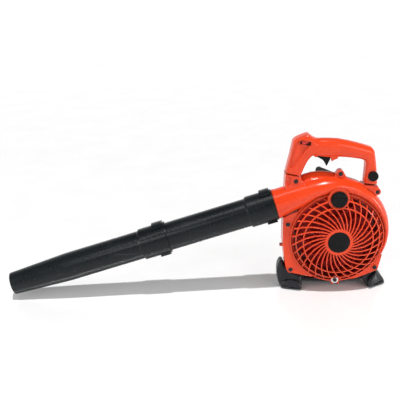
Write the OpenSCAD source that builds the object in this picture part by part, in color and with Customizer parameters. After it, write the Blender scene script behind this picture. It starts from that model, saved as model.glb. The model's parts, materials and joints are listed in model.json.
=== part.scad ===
// Hand-held petrol leaf blower, in millimetres, +Z up.
// The fan draws air in at the front (-Y), the pipe points to -X and the engine sits behind, at +Y.
// The sub-part modules take the housing's split plane as y = 0 and the ground as z = 0.
// on_stand() then moves every sub-part so that the origin lies under the base's rear pad.

/* [Layout] */
// Height of the crankshaft above the ground
axis_height = 130; // [128:1:134]
// Downward slope of the blower pipe, in degrees
pipe_pitch = 16.3; // [14:0.1:18]
// Distance between the pipe's axis and the crankshaft's axis
pipe_offset = 114.3; // [112:0.1:117]
// Distance from the housing's split plane back to the middle of the base's rear pad
pad_y = 90; // [84:1:96]

/* [Fan housing] */
// Radius of the scroll at its narrowest, under the fan
scroll_base_r = 106; // [105:0.5:109]
// Outer radius of the round outlet
outlet_r = 33; // [32.6:0.1:34]
// Wall thickness of the housing shells
shell_wall = 2.5; // [2:0.1:2.8]
// Half depth of the housing at the rim of the intake
rim_depth = 19; // [18:0.5:20]
// Width of the flat ring around the intake, from its hole to the edge of the scroll
intake_ring_w = 8; // [7:0.5:10]
// Distance along the pipe from under the fan to the end of the housing's outlet
outlet_end = 110.6; // [108:0.1:114]
// Radius of the screw heads in the housing
screw_head_r = 4; // [3.5:0.1:4.4]

/* [Intake grille] */
// How far the grille's rim stands out over the scroll at its narrowest
grille_overhang = 0.8; // [0:0.1:1.4]
// How far the hub of the grille stands before the split plane
grille_hub_depth = 45; // [43:0.5:47]
// Thickness of the domed grille
grille_wall = 3.2; // [2.6:0.1:3.6]
// Radius of the closed hub disc
grille_hub_r = 30; // [28:0.5:32]
// Radius of the bare badge disc on the hub
badge_r = 24.4; // [22:0.1:25.5]
// Number of swirling ribs
rib_count = 32; // [24:1:36]
// Width of a rib
rib_w = 2.6; // [2.2:0.1:3.2]
// Angle that a rib turns through on its way from the hub to the rim
rib_sweep = 43; // [30:1:50]
// Distance of the inner ring that crosses the ribs from the grille's edge
ring_inner_in = 28.8; // [26:0.1:32]
// Distance of the outer ring that crosses the ribs from the grille's edge
ring_outer_in = 13; // [11:0.1:15]
// Radius of the latch knob
knob_r = 18.5; // [16:0.5:20]

/* [Fan] */
// Outer radius of the fan
fan_r = 88; // [80:1:92]
// Number of fan blades
blade_count = 12; // [8:1:14]
// Thickness of a fan blade
blade_t = 2.2; // [1.8:0.1:2.6]

/* [Blower pipe] */
// Outer radius of the pipe sections
tube_r = 32; // [31.5:0.1:32.3]
// Wall thickness of the pipe sections
tube_wall = 2; // [1.6:0.1:2.4]
// Wall thickness of the collars
collar_wall = 3.2; // [2.8:0.1:3.6]
// Radial gap between a collar and what turns in it
collar_gap = 0.35; // [0.3:0.01:0.45]
// Length of a collar
collar_len = 61; // [56:1:66]
// Distance from the start of one pipe section to the start of the next
tube_pitch = 251; // [240:1:260]
// Straight length of the nozzle, with its collar
nozzle_straight = 242; // [230:1:250]
// Length of the nozzle's taper
nozzle_taper = 132; // [120:1:145]
// Outer radius of the nozzle's mouth
mouth_r = 25.6; // [24:0.1:28]
// Height of the bayonet pockets above their collar
pocket_h = 4.6; // [4.2:0.1:5.2]
// Twist that frees a bayonet, in degrees
twist = 20; // [16:1:22]

/* [Handle] */
// Full thickness of the handle from front to back
handle_t = 35; // [32:1:38]
// Thickness of the throttle trigger
trigger_t = 14; // [11:0.5:16]
// Radius of the trigger's pin
trigger_pin_r = 2; // [1.6:0.1:2.5]
// Radius of the black cap on the rear mount
mount_cap_r = 11.3; // [10:0.1:12]

/* [Base] */
// Half width of the base over the outer edges of its feet
foot_outer_x = 122; // [119:1:126]
// Distance from the middle to the inner edges of the feet
foot_inner_x = 77; // [74:1:80]
// Gap between the scroll's lowest point and the plate between the feet
plate_gap = 2; // [1:0.5:3]
// Thickness of that plate
plate_t = 9; // [7:0.5:10]

/* [Engine] */
// Radius of the crankshaft
shaft_r = 6; // [5:0.1:6.5]
// Half width of the cooling fins
fin_half_w = 28; // [26:0.5:29]
// Number of cooling fins
fin_count = 9; // [7:1:10]
// Radius of the flywheel
flywheel_r = 44; // [40:1:46]
// Radius of the recoil starter
starter_r = 44; // [42:1:46]
// Radius of the starter's rope pulley
pulley_r = 28; // [24:1:30]
// Half width of the fuel tank
tank_half_w = 66; // [60:1:70]
// Radius of the fuel cap
cap_r = 17; // [15:0.5:18]

/* [Hidden] */
$fn = 64;

orange = "#e8391a";
black = "#1f2123";
dark_grey = "#34373a";
silver = "#b9bcbe";

// Clearance between two solids that face each other and don't move
seat_gap = 0.3;
// Radial clearance of a shaft in its bearing
running_gap = 0.05;

// ---- helpers -------------------------------------------------------------------------------

module on_stand() {
  translate([0, -pad_y, 0]) children();
}

// Children are placed around the crankshaft's axis.
module at_axis() {
  translate([0, 0, axis_height]) children();
}

// A round bar along Y
module y_bar(y0, y1, r, x = 0, z = 0) {
  translate([x, y1, z]) rotate([90, 0, 0]) cylinder(r = r, h = y1 - y0);
}

// A round bar along X
module x_bar(x0, x1, r, y = 0, z = 0) {
  translate([x0, y, z]) rotate([0, 90, 0]) cylinder(r = r, h = x1 - x0);
}

// A plate between y0 and y1 whose outline is drawn in x and z
module y_plate(y0, y1) {
  translate([0, y1, 0]) rotate([90, 0, 0]) linear_extrude(y1 - y0) children();
}

// A plate between x0 and x1 whose outline is drawn in y and z
module x_plate(x0, x1) {
  translate([x0, 0, 0]) rotate([90, 0, 90]) linear_extrude(x1 - x0) children();
}

// A rectangle with round corners, from its lowest to its highest corner
module round_rect(low, high, r) {
  w = high.x - low.x;
  h = high.y - low.y;
  translate([low.x + r, low.y]) square([w - 2 * r, h]);
  translate([low.x, low.y + r]) square([w, h - 2 * r]);
  for (x = [low.x + r, high.x - r], y = [low.y + r, high.y - r]) translate([x, y]) circle(r);
}

// A closed skin over rings of points. A ring is closed, and every ring has as many points.
// cap_faces lists the faces that close the first ring, as indices into it.
module loft(rings, cap_faces) {
  n = len(rings[0]);
  last = len(rings) - 1;
  points = [for (ring = rings) each ring];
  sides = [
    for (j = [0 : last - 1], i = [0 : n - 1])
      let (a = j * n + i, b = j * n + (i + 1) % n)
        each [[a, b, b + n], [a, b + n, a + n]]
  ];
  start = [for (f = cap_faces) [for (k = [len(f) - 1 : -1 : 0]) f[k]]];
  end = [for (f = cap_faces) [for (i = f) i + last * n]];
  polyhedron(points = points, faces = concat(sides, start, end));
}

// ---- the scroll ----------------------------------------------------------------------------
// The outline grows from its base radius, under the fan, to the point where it meets the
// straight outlet. Angles run counter-clockwise as seen from the front, from +X.

scroll_lead = 7.1;
tongue_a = -200;
tangent_a = 90 + pipe_pitch + scroll_lead;
land_r = scroll_base_r - 1.5;
intake_r = scroll_base_r - intake_ring_w;
scroll_growth = (pipe_offset + outlet_r) / cos(scroll_lead) - scroll_base_r;
scroll_steps = 40;
outlet_s0 = (pipe_offset + outlet_r) * tan(scroll_lead);
arc_steps = 8;

function scroll_part(a) = a <= -90 ? 0 : (a + 90) / (tangent_a + 90);
function scroll_r(a) = scroll_base_r + scroll_growth * pow(scroll_part(a), 1.5);
function crest_depth(a) = rim_depth + 0.6 + (outlet_r - rim_depth - 0.6) * pow(scroll_part(a), 1.4);

// Half section of the scroll as [radius, depth] pairs: an arc from the split plane over the
// crest into the edge of the flange.
function scroll_section(a, inset) =
  let (
    outer = scroll_r(a) - inset,
    crest = crest_depth(a) - inset,
    rim = rim_depth - 0.3 - inset,
    rim_r = land_r - inset,
    q = sqrt(1 - pow(rim / crest, 2)),
    centre = (rim_r + outer * q) / (1 + q),
    arc_end = 180 - asin(rim / crest)
  )
  [for (i = [0 : arc_steps])
    let (t = arc_end * i / arc_steps) [centre + (outer - centre) * cos(t), crest * sin(t)]];

// Half circle of the outlet, in the same form
function outlet_section(inset) = [
  for (i = [0 : arc_steps])
    let (t = 180 * i / arc_steps) [pipe_offset + (outlet_r - inset) * cos(t), (outlet_r - inset) * sin(t)]
];

function mix_lists(a, b, t) = [for (i = [0 : len(a) - 1]) a[i] * (1 - t) + b[i] * t];
function reversed(list) = [for (i = [len(list) - 1 : -1 : 0]) list[i]];

// side is -1 for the front shell and 1 for the back shell.
function scroll_ring(a, side) =
  let (section = concat(scroll_section(a, 0), reversed(scroll_section(a, shell_wall))))
    [for (p = section) [p[0] * cos(a), side * p[1], p[0] * sin(a)]];

function outlet_ring(s, t, side) =
  let (
    outer = mix_lists(scroll_section(tangent_a, 0), outlet_section(0), t),
    inner = mix_lists(scroll_section(tangent_a, shell_wall), outlet_section(shell_wall), t)
  )
  [for (p = concat(outer, reversed(inner)))
    [-p[0] * sin(pipe_pitch) - s * cos(pipe_pitch), side * p[1], p[0] * cos(pipe_pitch) - s * sin(pipe_pitch)]];

module scroll_shell(side) {
  rings = concat(
    [for (j = [0 : scroll_steps])
      scroll_ring(tongue_a + (tangent_a - 4 - tongue_a) * j / scroll_steps, side)],
    [for (t = [0.12, 0.35, 0.7, 1])
      outlet_ring(outlet_s0 + (outlet_end - outlet_s0) * pow(t, 1.3), t, side)]
  );
  n = 2 * (arc_steps + 1);
  caps = [for (i = [0 : arc_steps - 1]) each [[i, i + 1, n - 2 - i], [i, n - 2 - i, n - 1 - i]]];
  at_axis() loft(side < 0 ? rings : [for (ring = rings) reversed(ring)], caps);
}

// Flat disc that closes one shell, inside the bevelled edge of that shell
module shell_disc(side, hole_r, bevel) {
  edge = land_r - shell_wall - seat_gap * 1.4;
  at_axis() rotate([side < 0 ? 90 : -90, 0, 0]) rotate_extrude() polygon([
    [hole_r, rim_depth - 0.3 - shell_wall], [edge, rim_depth - 0.3 - shell_wall],
    [edge + bevel, rim_depth - 0.3], [hole_r, rim_depth - 0.3]
  ]);
}

// Outline of the scroll in x and z, drawn inside the wall
module scroll_outline(inset) {
  polygon([
    for (j = [0 : scroll_steps])
      let (a = tongue_a + 1.3 + (tangent_a - tongue_a - 1.3) * j / scroll_steps, r = scroll_r(a) - inset)
        [r * cos(a), r * sin(a)]
  ]);
}

// Places children on the pipe's axis: +Z runs out along the pipe, +X is its upper side.
module on_pipe() {
  at_axis() rotate([0, -(90 + pipe_pitch), 0]) translate([pipe_offset, 0, 0]) children();
}

// ---- fan housing ---------------------------------------------------------------------------

// Screws of the housing, as [x, z] from the crankshaft, with the depth of their seat before the
// split plane and the length of their boss behind it
front_screws = [
  [-110.7, 36, 17, 17], [-103, -75.2, 17, 17], [89.5, -76.5, 17, 17], [86.6, 105.8, 12, 12], [4, 149.6, 10, 5],
  [-94.5, 137, 15, 15]
];
screw_boss_r = screw_head_r + 4;
hinge_y = -13;
hinge_z = scroll_base_r + 5.4;
hinge_half_w = 4.6;
hinge_pin_r = 1.8;
post_gap_y = 151.6;

// Blocks outside the scroll: the left wall, the two lower corners, the handle's posts.
module housing_blocks_outline() {
  left = 121.6;
  polygon([
    [-60, -70], [-52, -96], [-86, -87.5], [-104, -83], [-109.5, -80], [-113, -74],
    [-115.5, -63], [-left, -12], [-left, 51], [-100, 64], [-84, 72], [-66, 72], [-66, 20]
  ]);
  polygon([
    [60, -70], [22, -105], [44, -103], [66, -95.5], [88, -86], [93.5, -83.5], [96.5, -80], [98.4, -74],
    [104.4, -46], [97, -38]
  ]);
}

module post_outline() {
  polygon([
    [-119.5, 100], [-118.5, 126], [-117, 135 + 18.2], [-83.4, 135 + 11], [-82.6, 139], [-76, 134],
    [-70, 118]
  ]);
  polygon([
    [54.5, 123], [86.6, 119.6], [89, 112], [86, 98], [70, 92], [44, 112]
  ]);
}

module housing_blocks(side) {
  at_axis() difference() {
    union() {
      y_plate(side < 0 ? -rim_depth + 1 : 0, side < 0 ? 0 : rim_depth - 1) housing_blocks_outline();
      y_plate(side < 0 ? -16 : 0, side < 0 ? 0 : 16) post_outline();
      y_plate(side < 0 ? -9.4 : 0, side < 0 ? 0 : 4.4) polygon([[-14, 134], [24, 130], [11.6, 152], [-3.6, 153]]);
      for (p = front_screws) {
        reach = side < 0 ? p[2] + 2 : p[3];
        y_bar(side < 0 ? -reach : 0, side < 0 ? 0 : reach, screw_boss_r, p[0], p[1]);
      }
    }
    y_plate(-40, 40) scroll_outline(shell_wall - 0.9);
    rotate([0, -(90 + pipe_pitch), 0])
      translate([pipe_offset, 0, outlet_s0 - 6]) cylinder(r = outlet_r - shell_wall + 0.9, h = 130);
  }
}

// The outlet's neck inside the pipe's collar, with one bayonet stud in each shell
neck_r = tube_r;
neck_len = 44;
bead_len = 5.2;
stud_a = 14;
stud_half_a = 6;
pocket_start = 4;
pocket_len = 23;
stud_start = 11;
stud_len = 8;

module bayonet_stud(r) {
  rotate([0, 0, -stud_a - stud_half_a])
    rotate_extrude(angle = 2 * stud_half_a) translate([r - 0.8, stud_start]) square([3.2, stud_len]);
}

module outlet_neck(side) {
  on_pipe() difference() {
    union() {
      translate([0, 0, outlet_end - 6]) difference() {
        cylinder(r = neck_r, h = neck_len + 6);
        translate([0, 0, -1]) cylinder(r = neck_r - tube_wall - 0.5, h = neck_len + 8);
      }
      // Bead around the end of the outlet, before the pipe's collar
      translate([0, 0, outlet_end - bead_len - 0.6]) difference() {
        cylinder(r = outlet_r + 1.1, h = bead_len);
        translate([0, 0, -1]) cylinder(r = outlet_r - 1.8, h = bead_len + 2);
      }
      translate([0, 0, outlet_end]) rotate([0, 0, side < 0 ? 0 : 180]) bayonet_stud(neck_r);
    }
    translate([-60, side < 0 ? 0 : -60, outlet_end - 10]) cube([120, 60, 90]);
  }
}

module screw_holes(side) {
  at_axis() for (p = front_screws) {
    if (side < 0) {
      y_bar(-40, -p[2], screw_head_r + 0.5, p[0], p[1]);
      y_bar(-40, 1, 2.2, p[0], p[1]);
    } else {
      y_bar(-1, p[3] - 3, 1.8, p[0], p[1]);
    }
  }
}

module hinge_lugs() {
  at_axis() difference() {
    for (s = [-1, 1]) translate([s * (hinge_half_w + seat_gap + 2) - 2, hinge_y - 5, -hinge_z - 5])
      cube([4, 12, 13]);
    x_bar(-20, 20, hinge_pin_r + running_gap, hinge_y, -hinge_z);
  }
}

module volute_front() {
  color(orange) difference() {
    union() {
      scroll_shell(-1);
      housing_blocks(-1);
      outlet_neck(-1);
      hinge_lugs();
    }
    screw_holes(-1);
    front_mount_bolt(0.02);
    rear_mount_bolt(0.02);
    // Recess in the front post, beside its screw
    at_axis() y_plate(-30, -13)
      polygon([[-115.4, 148.5], [-105.4, 146.4], [-104.8, 133], [-108.5, 127.5], [-114.6, 126]]);
  }
}

// Ring behind the back shell that carries the engine, with a window for the ignition coil
engine_ring_r = 61.5;
engine_ring_y = 46;
coil_half_w = 23;

module volute_back() {
  color(orange) difference() {
    union() {
      scroll_shell(1);
      housing_blocks(1);
      outlet_neck(1);
      // Rib that runs from the front post over the top of the scroll
      at_axis() y_plate(0.3, 7) difference() {
        polygon([[-84, 130], [-83, 143], [-60, 150.5], [-34, 152], [-14, 149.5], [6, 144], [0, 120]]);
        scroll_outline(shell_wall - 0.9);
        rotate(90 + pipe_pitch) square([pipe_offset + outlet_r - 1.5, 130]);
      }
      // Small lug on the left wall
      at_axis() translate([-125.6, 6, -27]) cube([8, 8, 5.4]);
    }
    screw_holes(1);
    front_mount_bolt(0.02);
    rear_mount_bolt(0.02);
  }
}

// Ring in the front shell that guides the air into the fan
module intake_ring() {
  color(dark_grey) difference() {
    shell_disc(-1, intake_r, 0.02);
    // Opening for the tongue of the latch
    at_axis() translate([knob_x - 12, -rim_depth - 1, knob_z - 12]) cube([24, 6, 12 + knob_stem_r + 0.4]);
  }
}

// Disc in the back shell, with the ring that carries the engine
module back_plate() {
  color(orange) difference() {
    union() {
      shell_disc(1, 18, shell_wall);
      at_axis() y_bar(rim_depth - 1, engine_ring_y, engine_ring_r);
    }
    at_axis() y_bar(rim_depth - 0.3, engine_ring_y + 1, engine_ring_r - 3.5);
    at_axis() y_bar(-1, engine_ring_y, 18);
    at_axis() translate([-coil_half_w - 2, rim_depth + 2, 36]) cube([2 * coil_half_w + 4, 40, 40]);
  }
}

module housing_screws() {
  color(black) at_axis() for (p = front_screws) {
    y_bar(-p[2] - 3.4, -p[2], screw_head_r, p[0], p[1]);
    y_bar(-p[2] - 0.5, p[3] - 3.2, 1.75, p[0], p[1]);
  }
}

// ---- intake grille -------------------------------------------------------------------------
// A shallow dome, turned around the crankshaft's axis and cut through by a flat pattern of
// swirling ribs and two rings. The pattern is one outline, pushed through the dome.

grille_r = scroll_base_r + grille_overhang;
ring_inner_r = grille_r - ring_inner_in;
ring_outer_r = grille_r - ring_outer_in;
knob_x = -1.6;
knob_z = grille_r - 8.2;
knob_boss_r = knob_r + 6;
knob_stem_r = 2.9;
boss_front = grille_hub_depth - 10.9;
tab_x = -2.2;
tab_z = 5.3 - grille_r;
tab_front = rim_depth + 4.6;
tab_t = 1.8;
washer_r = 8.2;
hub_drop = grille_hub_depth;
ring_inner_depth = grille_hub_depth - 8.8;
ring_outer_depth = grille_hub_depth - 14.4;
rim_front = rim_depth + 1;

function rib_turn(r) = rib_sweep * pow((r - grille_hub_r) / (grille_r - grille_hub_r), 0.8);
function on_rib(r, side) =
  let (a = rib_turn(r) + side * rib_w / 2 / r * 180 / PI / cos(28)) [r * cos(a), r * sin(a)];

module rib_outline() {
  radii = [for (i = [0 : 5]) grille_hub_r - 2 + (grille_r - 3 - grille_hub_r) * i / 5];
  polygon(concat([for (r = radii) on_rib(max(r, grille_hub_r), 1)],
    [for (r = reversed(radii)) on_rib(max(r, grille_hub_r), -1)]));
}

module ring_outline(r, w) {
  difference() {
    circle(r + w / 2);
    circle(r - w / 2);
  }
}

module grille_pattern() {
  circle(grille_hub_r + 1.2);
  ring_outline(ring_inner_r, rib_w);
  ring_outline(ring_outer_r, rib_w);
  ring_outline(grille_r + 1.2, 9.6);
  for (i = [0 : rib_count - 1]) rotate(i * 360 / rib_count) rib_outline();
  translate([knob_x, knob_z]) circle(knob_boss_r - 0.6);
}

// Crown of the dome as [radius, distance before the split plane]
function dome_crown(inset) = [
  [0, hub_drop - inset], [grille_hub_r + 2, hub_drop - inset],
  [(grille_hub_r + ring_inner_r) / 2 + 4, (hub_drop + ring_inner_depth) / 2 + 0.9 - inset],
  [ring_inner_r, ring_inner_depth - inset], [ring_outer_r, ring_outer_depth - inset]
];

// Steep flank and thin rim, on the outside and on the inside
dome_flank = [
  [grille_r - 6.4, rim_front + 5.6], [grille_r - 3.4, rim_front + 1.9], [grille_r - 0.5, rim_front + 1.5],
  [grille_r, rim_front]
];
dome_hollow = [[grille_r - 8.6, rim_front + 3.6], [grille_r - 6.6, rim_front - 1]];

module dome() {
  at_axis() rotate([90, 0, 0]) rotate_extrude() difference() {
    polygon(concat(dome_crown(0), dome_flank, [[0, rim_front]]));
    polygon(concat(dome_crown(grille_wall), dome_hollow, [[0, rim_front - 1]]));
  }
}

module intake_grille() {
  color(orange) difference() {
    union() {
      intersection() {
        dome();
        at_axis() y_plate(-hub_drop - 2, -rim_front + 0.5) grille_pattern();
      }
      // Boss of the latch knob. Past the rim it is thin and stands clear of the housing.
      at_axis() intersection() {
        y_bar(-boss_front, -rim_front - 2, knob_boss_r, knob_x, knob_z);
        union() {
          y_bar(-60, 0, grille_r - 0.4);
          y_bar(-60, -boss_front + 1.8, grille_r + 40);
        }
      }
      // Tab of the hinge
      at_axis() y_bar(-tab_front, -tab_front + tab_t, washer_r + 1.2, tab_x, tab_z);
    }
    at_axis() {
      // Seats of the knob and of the washer, and the bores behind them
      y_bar(-60, -boss_front, knob_r + 2.4, knob_x, knob_z);
      y_bar(-60, -tab_front, washer_r + 0.5, tab_x, tab_z);
      y_bar(-60, 0, knob_stem_r + collar_gap, knob_x, knob_z);
      y_bar(-60, 0, 2.3, tab_x, tab_z);
      // Pocket for the hinge leaf
      translate([-hinge_half_w - 2 * seat_gap, -tab_front + tab_t, tab_z - 14])
        cube([2 * hinge_half_w + 4 * seat_gap, 12, 21.5]);
      y_bar(-hub_drop - 1, -hub_drop + 1, badge_r + seat_gap);
    }
  }
}

module grille_badge() {
  color(black) at_axis() y_bar(-hub_drop - 0.4, -hub_drop + 1 - 0.01, badge_r);
}

module grille_knob() {
  front = boss_front + seat_gap;
  tongue_y = -rim_depth + 0.3 + shell_wall + seat_gap;
  color(black) at_axis() {
    y_bar(-front - 4.6, -front, knob_r, knob_x, knob_z);
    y_bar(-front - 7, -front - 4.5, knob_r - 3, knob_x, knob_z);
    translate([knob_x - knob_r + 1.6, -front - 9.6, knob_z - 3.5]) cube([2 * knob_r - 3.2, 6, 7]);
    y_bar(-front - 0.1, tongue_y + 3.5, knob_stem_r, knob_x, knob_z);
    translate([knob_x - 3, tongue_y, knob_z - 10]) cube([6, 3.5, 12]);
  }
}

module hinge_screw_place() {
  at_axis() translate([tab_x, -tab_front, tab_z]) rotate([90, 0, 0]) children();
}

module grille_washer() {
  color("white") hinge_screw_place() difference() {
    cylinder(r = washer_r, h = 1.4);
    translate([0, 0, -1]) cylinder(r = 2.6, h = 4);
  }
}

module grille_screw() {
  color(black) hinge_screw_place() {
    translate([0, 0, 1.4]) cylinder(r = 4.6, h = 2.4);
    translate([0, 0, -3.5]) cylinder(r = 2.1, h = 5);
  }
}

module grille_hinge_leaf() {
  leaf_y = -tab_front + tab_t + 0.2;
  color(black) at_axis() difference() {
    union() {
      x_bar(-hinge_half_w, hinge_half_w, 4, hinge_y, -hinge_z);
      translate([-hinge_half_w, leaf_y, -hinge_z - 2]) cube([2 * hinge_half_w, 1.4, 17]);
      translate([-hinge_half_w, leaf_y, -hinge_z - 2]) cube([2 * hinge_half_w, hinge_y - leaf_y, 5.4]);
    }
    x_bar(-20, 20, hinge_pin_r + running_gap, hinge_y, -hinge_z);
    y_bar(-60, 0, 2.13, tab_x, tab_z);
  }
}

module grille_hinge_pin() {
  color(silver) at_axis() x_bar(-hinge_half_w - 5, hinge_half_w + 5, hinge_pin_r, hinge_y, -hinge_z);
}

// ---- base ----------------------------------------------------------------------------------

plate_top = axis_height - scroll_base_r - plate_gap;
base_back = pad_y + 36;
foot_front = -21;
foot_back = 26;
left_sweep = 17.4;
right_sweep = 27;

module left_foot_outline() {
  polygon([
    [-foot_inner_x, 0], [-foot_outer_x, 0], [-foot_outer_x - 4.4, 9], [-foot_outer_x - 7.6, 22],
    [-foot_outer_x - 9, 34], [-foot_outer_x - 9.2, 44], [-foot_outer_x - 8, 54], [-foot_outer_x - 5.6, 61.5],
    [-foot_outer_x - 2, 66.6], [-foot_outer_x + 2, 68], [-foot_outer_x + 6, 65], [-foot_outer_x + 9, 54],
    [-100, 44], [-88, 39], [-52, 30], [-60, plate_top - plate_t], [-82, 20]
  ]);
}

module right_foot_outline() {
  polygon([
    [foot_inner_x, 0], [foot_outer_x, 0], [foot_outer_x - 3, 9], [foot_outer_x - 10, 20],
    [foot_outer_x - 24, 38], [foot_outer_x - 28, 46], [88, 48], [52, 30], [60, plate_top - plate_t],
    [foot_inner_x - 5, 19]
  ]);
}

module base_stand() {
  color(dark_grey) difference() {
    union() {
      y_plate(-24, foot_back) {
        left_foot_outline();
        right_foot_outline();
      }
      translate([-64, 3, plate_top - plate_t]) cube([128, base_back - 3, plate_t]);
      y_plate(pad_y - 20, pad_y + 20) round_rect([-32, 0], [32, plate_top - 1], 0.5);
    }
    // The front faces of the feet sweep back towards their outer edges.
    for (s = [-1, 1]) translate([s * foot_inner_x, foot_front, -1])
      rotate([0, 0, s < 0 ? -left_sweep : right_sweep])
        translate([s < 0 ? -90 : -30, -60, 0]) cube([120, 60, 90]);
    // Seats of the housing, of the engine's ring and of the ground between the feet
    at_axis() y_plate(-60, rim_depth + 1) offset(delta = seat_gap) {
      housing_blocks_outline();
      scroll_outline(0);
    }
    at_axis() for (p = front_screws) y_bar(-60, rim_depth + 1, screw_boss_r + seat_gap, p[0], p[1]);
    at_axis() y_bar(rim_depth - 1, 200, 90);
    translate([-150, rim_depth + 1, 42]) cube([300, 200, 60]);
    translate([-tank_half_w - 0.5, tank_front - 1, plate_top]) cube([2 * tank_half_w + 1, 200, 60]);
    for (p = base_screw_points) translate([p[0], p[1], -1]) {
      cylinder(r = 2.2, h = 60);
      cylinder(r = 4.5, h = plate_top - plate_t + 5);
    }
  }
}

base_screw_points = [[-50, 62], [50, 62], [-50, 104], [50, 104]];

module base_screws() {
  color(silver) for (p = base_screw_points) translate([p[0], p[1], plate_top - plate_t + 1]) {
    cylinder(r = 4, h = 3);
    translate([0, 0, 2.5]) cylinder(r = 2.05, h = plate_t + 2.5);
  }
}

// ---- blower pipe ---------------------------------------------------------------------------

collar_in = tube_r + collar_gap;
collar_out = collar_in + collar_wall;
slot_out = tube_r + 3.1;

// A collar with two bayonet pockets, opposite each other, on the upper and the lower side
module collar() {
  difference() {
    union() {
      cylinder(r = collar_out, h = collar_len);
      for (k = [0, 180]) rotate([0, 0, k - 30]) translate([0, 0, pocket_start])
        rotate_extrude(angle = 62) translate([collar_out - 1, 0]) square([pocket_h + 1, pocket_len]);
    }
    translate([0, 0, -1]) cylinder(r = collar_in, h = collar_len + 2);
    for (k = [0, 180]) rotate([0, 0, k]) {
      rotate([0, 0, -stud_a - stud_half_a - 1.5]) translate([0, 0, stud_start - 1])
        rotate_extrude(angle = 2 * stud_half_a + 3 + twist) translate([collar_in - 1, 0])
          square([slot_out + 1 - collar_in, stud_len + 2]);
      rotate([0, 0, -stud_a - stud_half_a - 1.1 + twist]) translate([0, 0, -1])
        rotate_extrude(angle = 2 * stud_half_a + 2.2) translate([collar_in - 1.2, 0])
          square([slot_out + 1 - collar_in, stud_start + 1]);
    }
  }
}

module blower_tube() {
  color(black) on_pipe() translate([0, 0, outlet_end + 0.4]) {
    difference() {
      union() {
        collar();
        translate([0, 0, neck_len + 3]) cylinder(r = tube_r, h = tube_pitch - 3);
        translate([0, 0, collar_len - 4]) cylinder(r1 = collar_out - 0.5, r2 = tube_r - 0.3, h = 8);
      }
      translate([0, 0, neck_len + 1]) cylinder(r = tube_r - tube_wall, h = tube_pitch + 20);
    }
    for (k = [0, 180]) translate([0, 0, tube_pitch]) rotate([0, 0, k]) bayonet_stud(tube_r);
  }
}

mouth_wall = 1.8;
mouth_straight = 26;

module nozzle() {
  inner = tube_r - tube_wall;
  step = neck_len + 4;
  color(black) on_pipe() translate([0, 0, outlet_end + 0.4 + tube_pitch]) difference() {
    union() {
      collar();
      translate([0, 0, step]) cylinder(r = tube_r, h = nozzle_straight - step);
      translate([0, 0, nozzle_straight]) cylinder(r1 = tube_r, r2 = mouth_r, h = nozzle_taper);
      translate([0, 0, collar_len - 4]) cylinder(r1 = collar_out - 0.5, r2 = tube_r - 0.3, h = 8);
    }
    translate([0, 0, step - 1]) cylinder(r = inner, h = nozzle_straight - step + 1.01);
    translate([0, 0, nozzle_straight])
      cylinder(r1 = inner, r2 = mouth_r - mouth_wall, h = nozzle_taper - mouth_straight);
    translate([0, 0, nozzle_straight + nozzle_taper - mouth_straight - 0.01])
      cylinder(r = mouth_r - mouth_wall, h = mouth_straight + 1);
  }
}

// ---- handle --------------------------------------------------------------------------------
// Stations along the handle, from the front mount over the grip to the rear mount.
// Each is [outer x, outer z, inner x, inner z] from the crankshaft.

handle_stations = [
  [-116.6, 156.8, -82.8, 149.4], [-112.8, 174, -78.5, 162], [-108.4, 191.6, -73, 174],
  [-104.5, 211, -67, 184.5], [-101.2, 227, -61, 190.5], [-92.5, 233, -58, 193],
  [-69.4, 241.9, -56.3, 192], [-58, 233.5, -54, 190], [-49, 229, -48, 187],
  [-26.7, 228.9, -26, 186.4], [-3.1, 227.2, -3.7, 186.8], [20.7, 222.1, 15, 185.4],
  [44.7, 215.2, 36, 182.6], [62, 209.5, 50, 179.8], [71.3, 205.8, 56, 176.4],
  [76.4, 199.5, 58.4, 171], [79, 185, 58.5, 160], [81.7, 168.3, 57.8, 148],
  [84.1, 148.1, 57, 136], [86.3, 122.8 + 1.6, 56.6, 126 + 1.6]
];
roundness = 0.62;
half_ring = 12;

function rounded(v) = sign(v) * pow(abs(v), roundness);

function handle_ring(s, side) = [
  for (i = [0 : half_ring])
    let (t = 180 * i / half_ring, c = rounded(cos(t)), d = rounded(sin(t)))
      [
        (s[0] + s[2]) / 2 + (s[0] - s[2]) / 2 * c,
        side * (d * (handle_t / 2 - 0.1) + 0.1),
        (s[1] + s[3]) / 2 + (s[1] - s[3]) / 2 * c
      ]
];

trigger_pivot = [-51.5, 194];
switch_place = [-74, 223.5];
switch_tilt = -11;
rear_mount_place = [74, 144.4];

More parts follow.
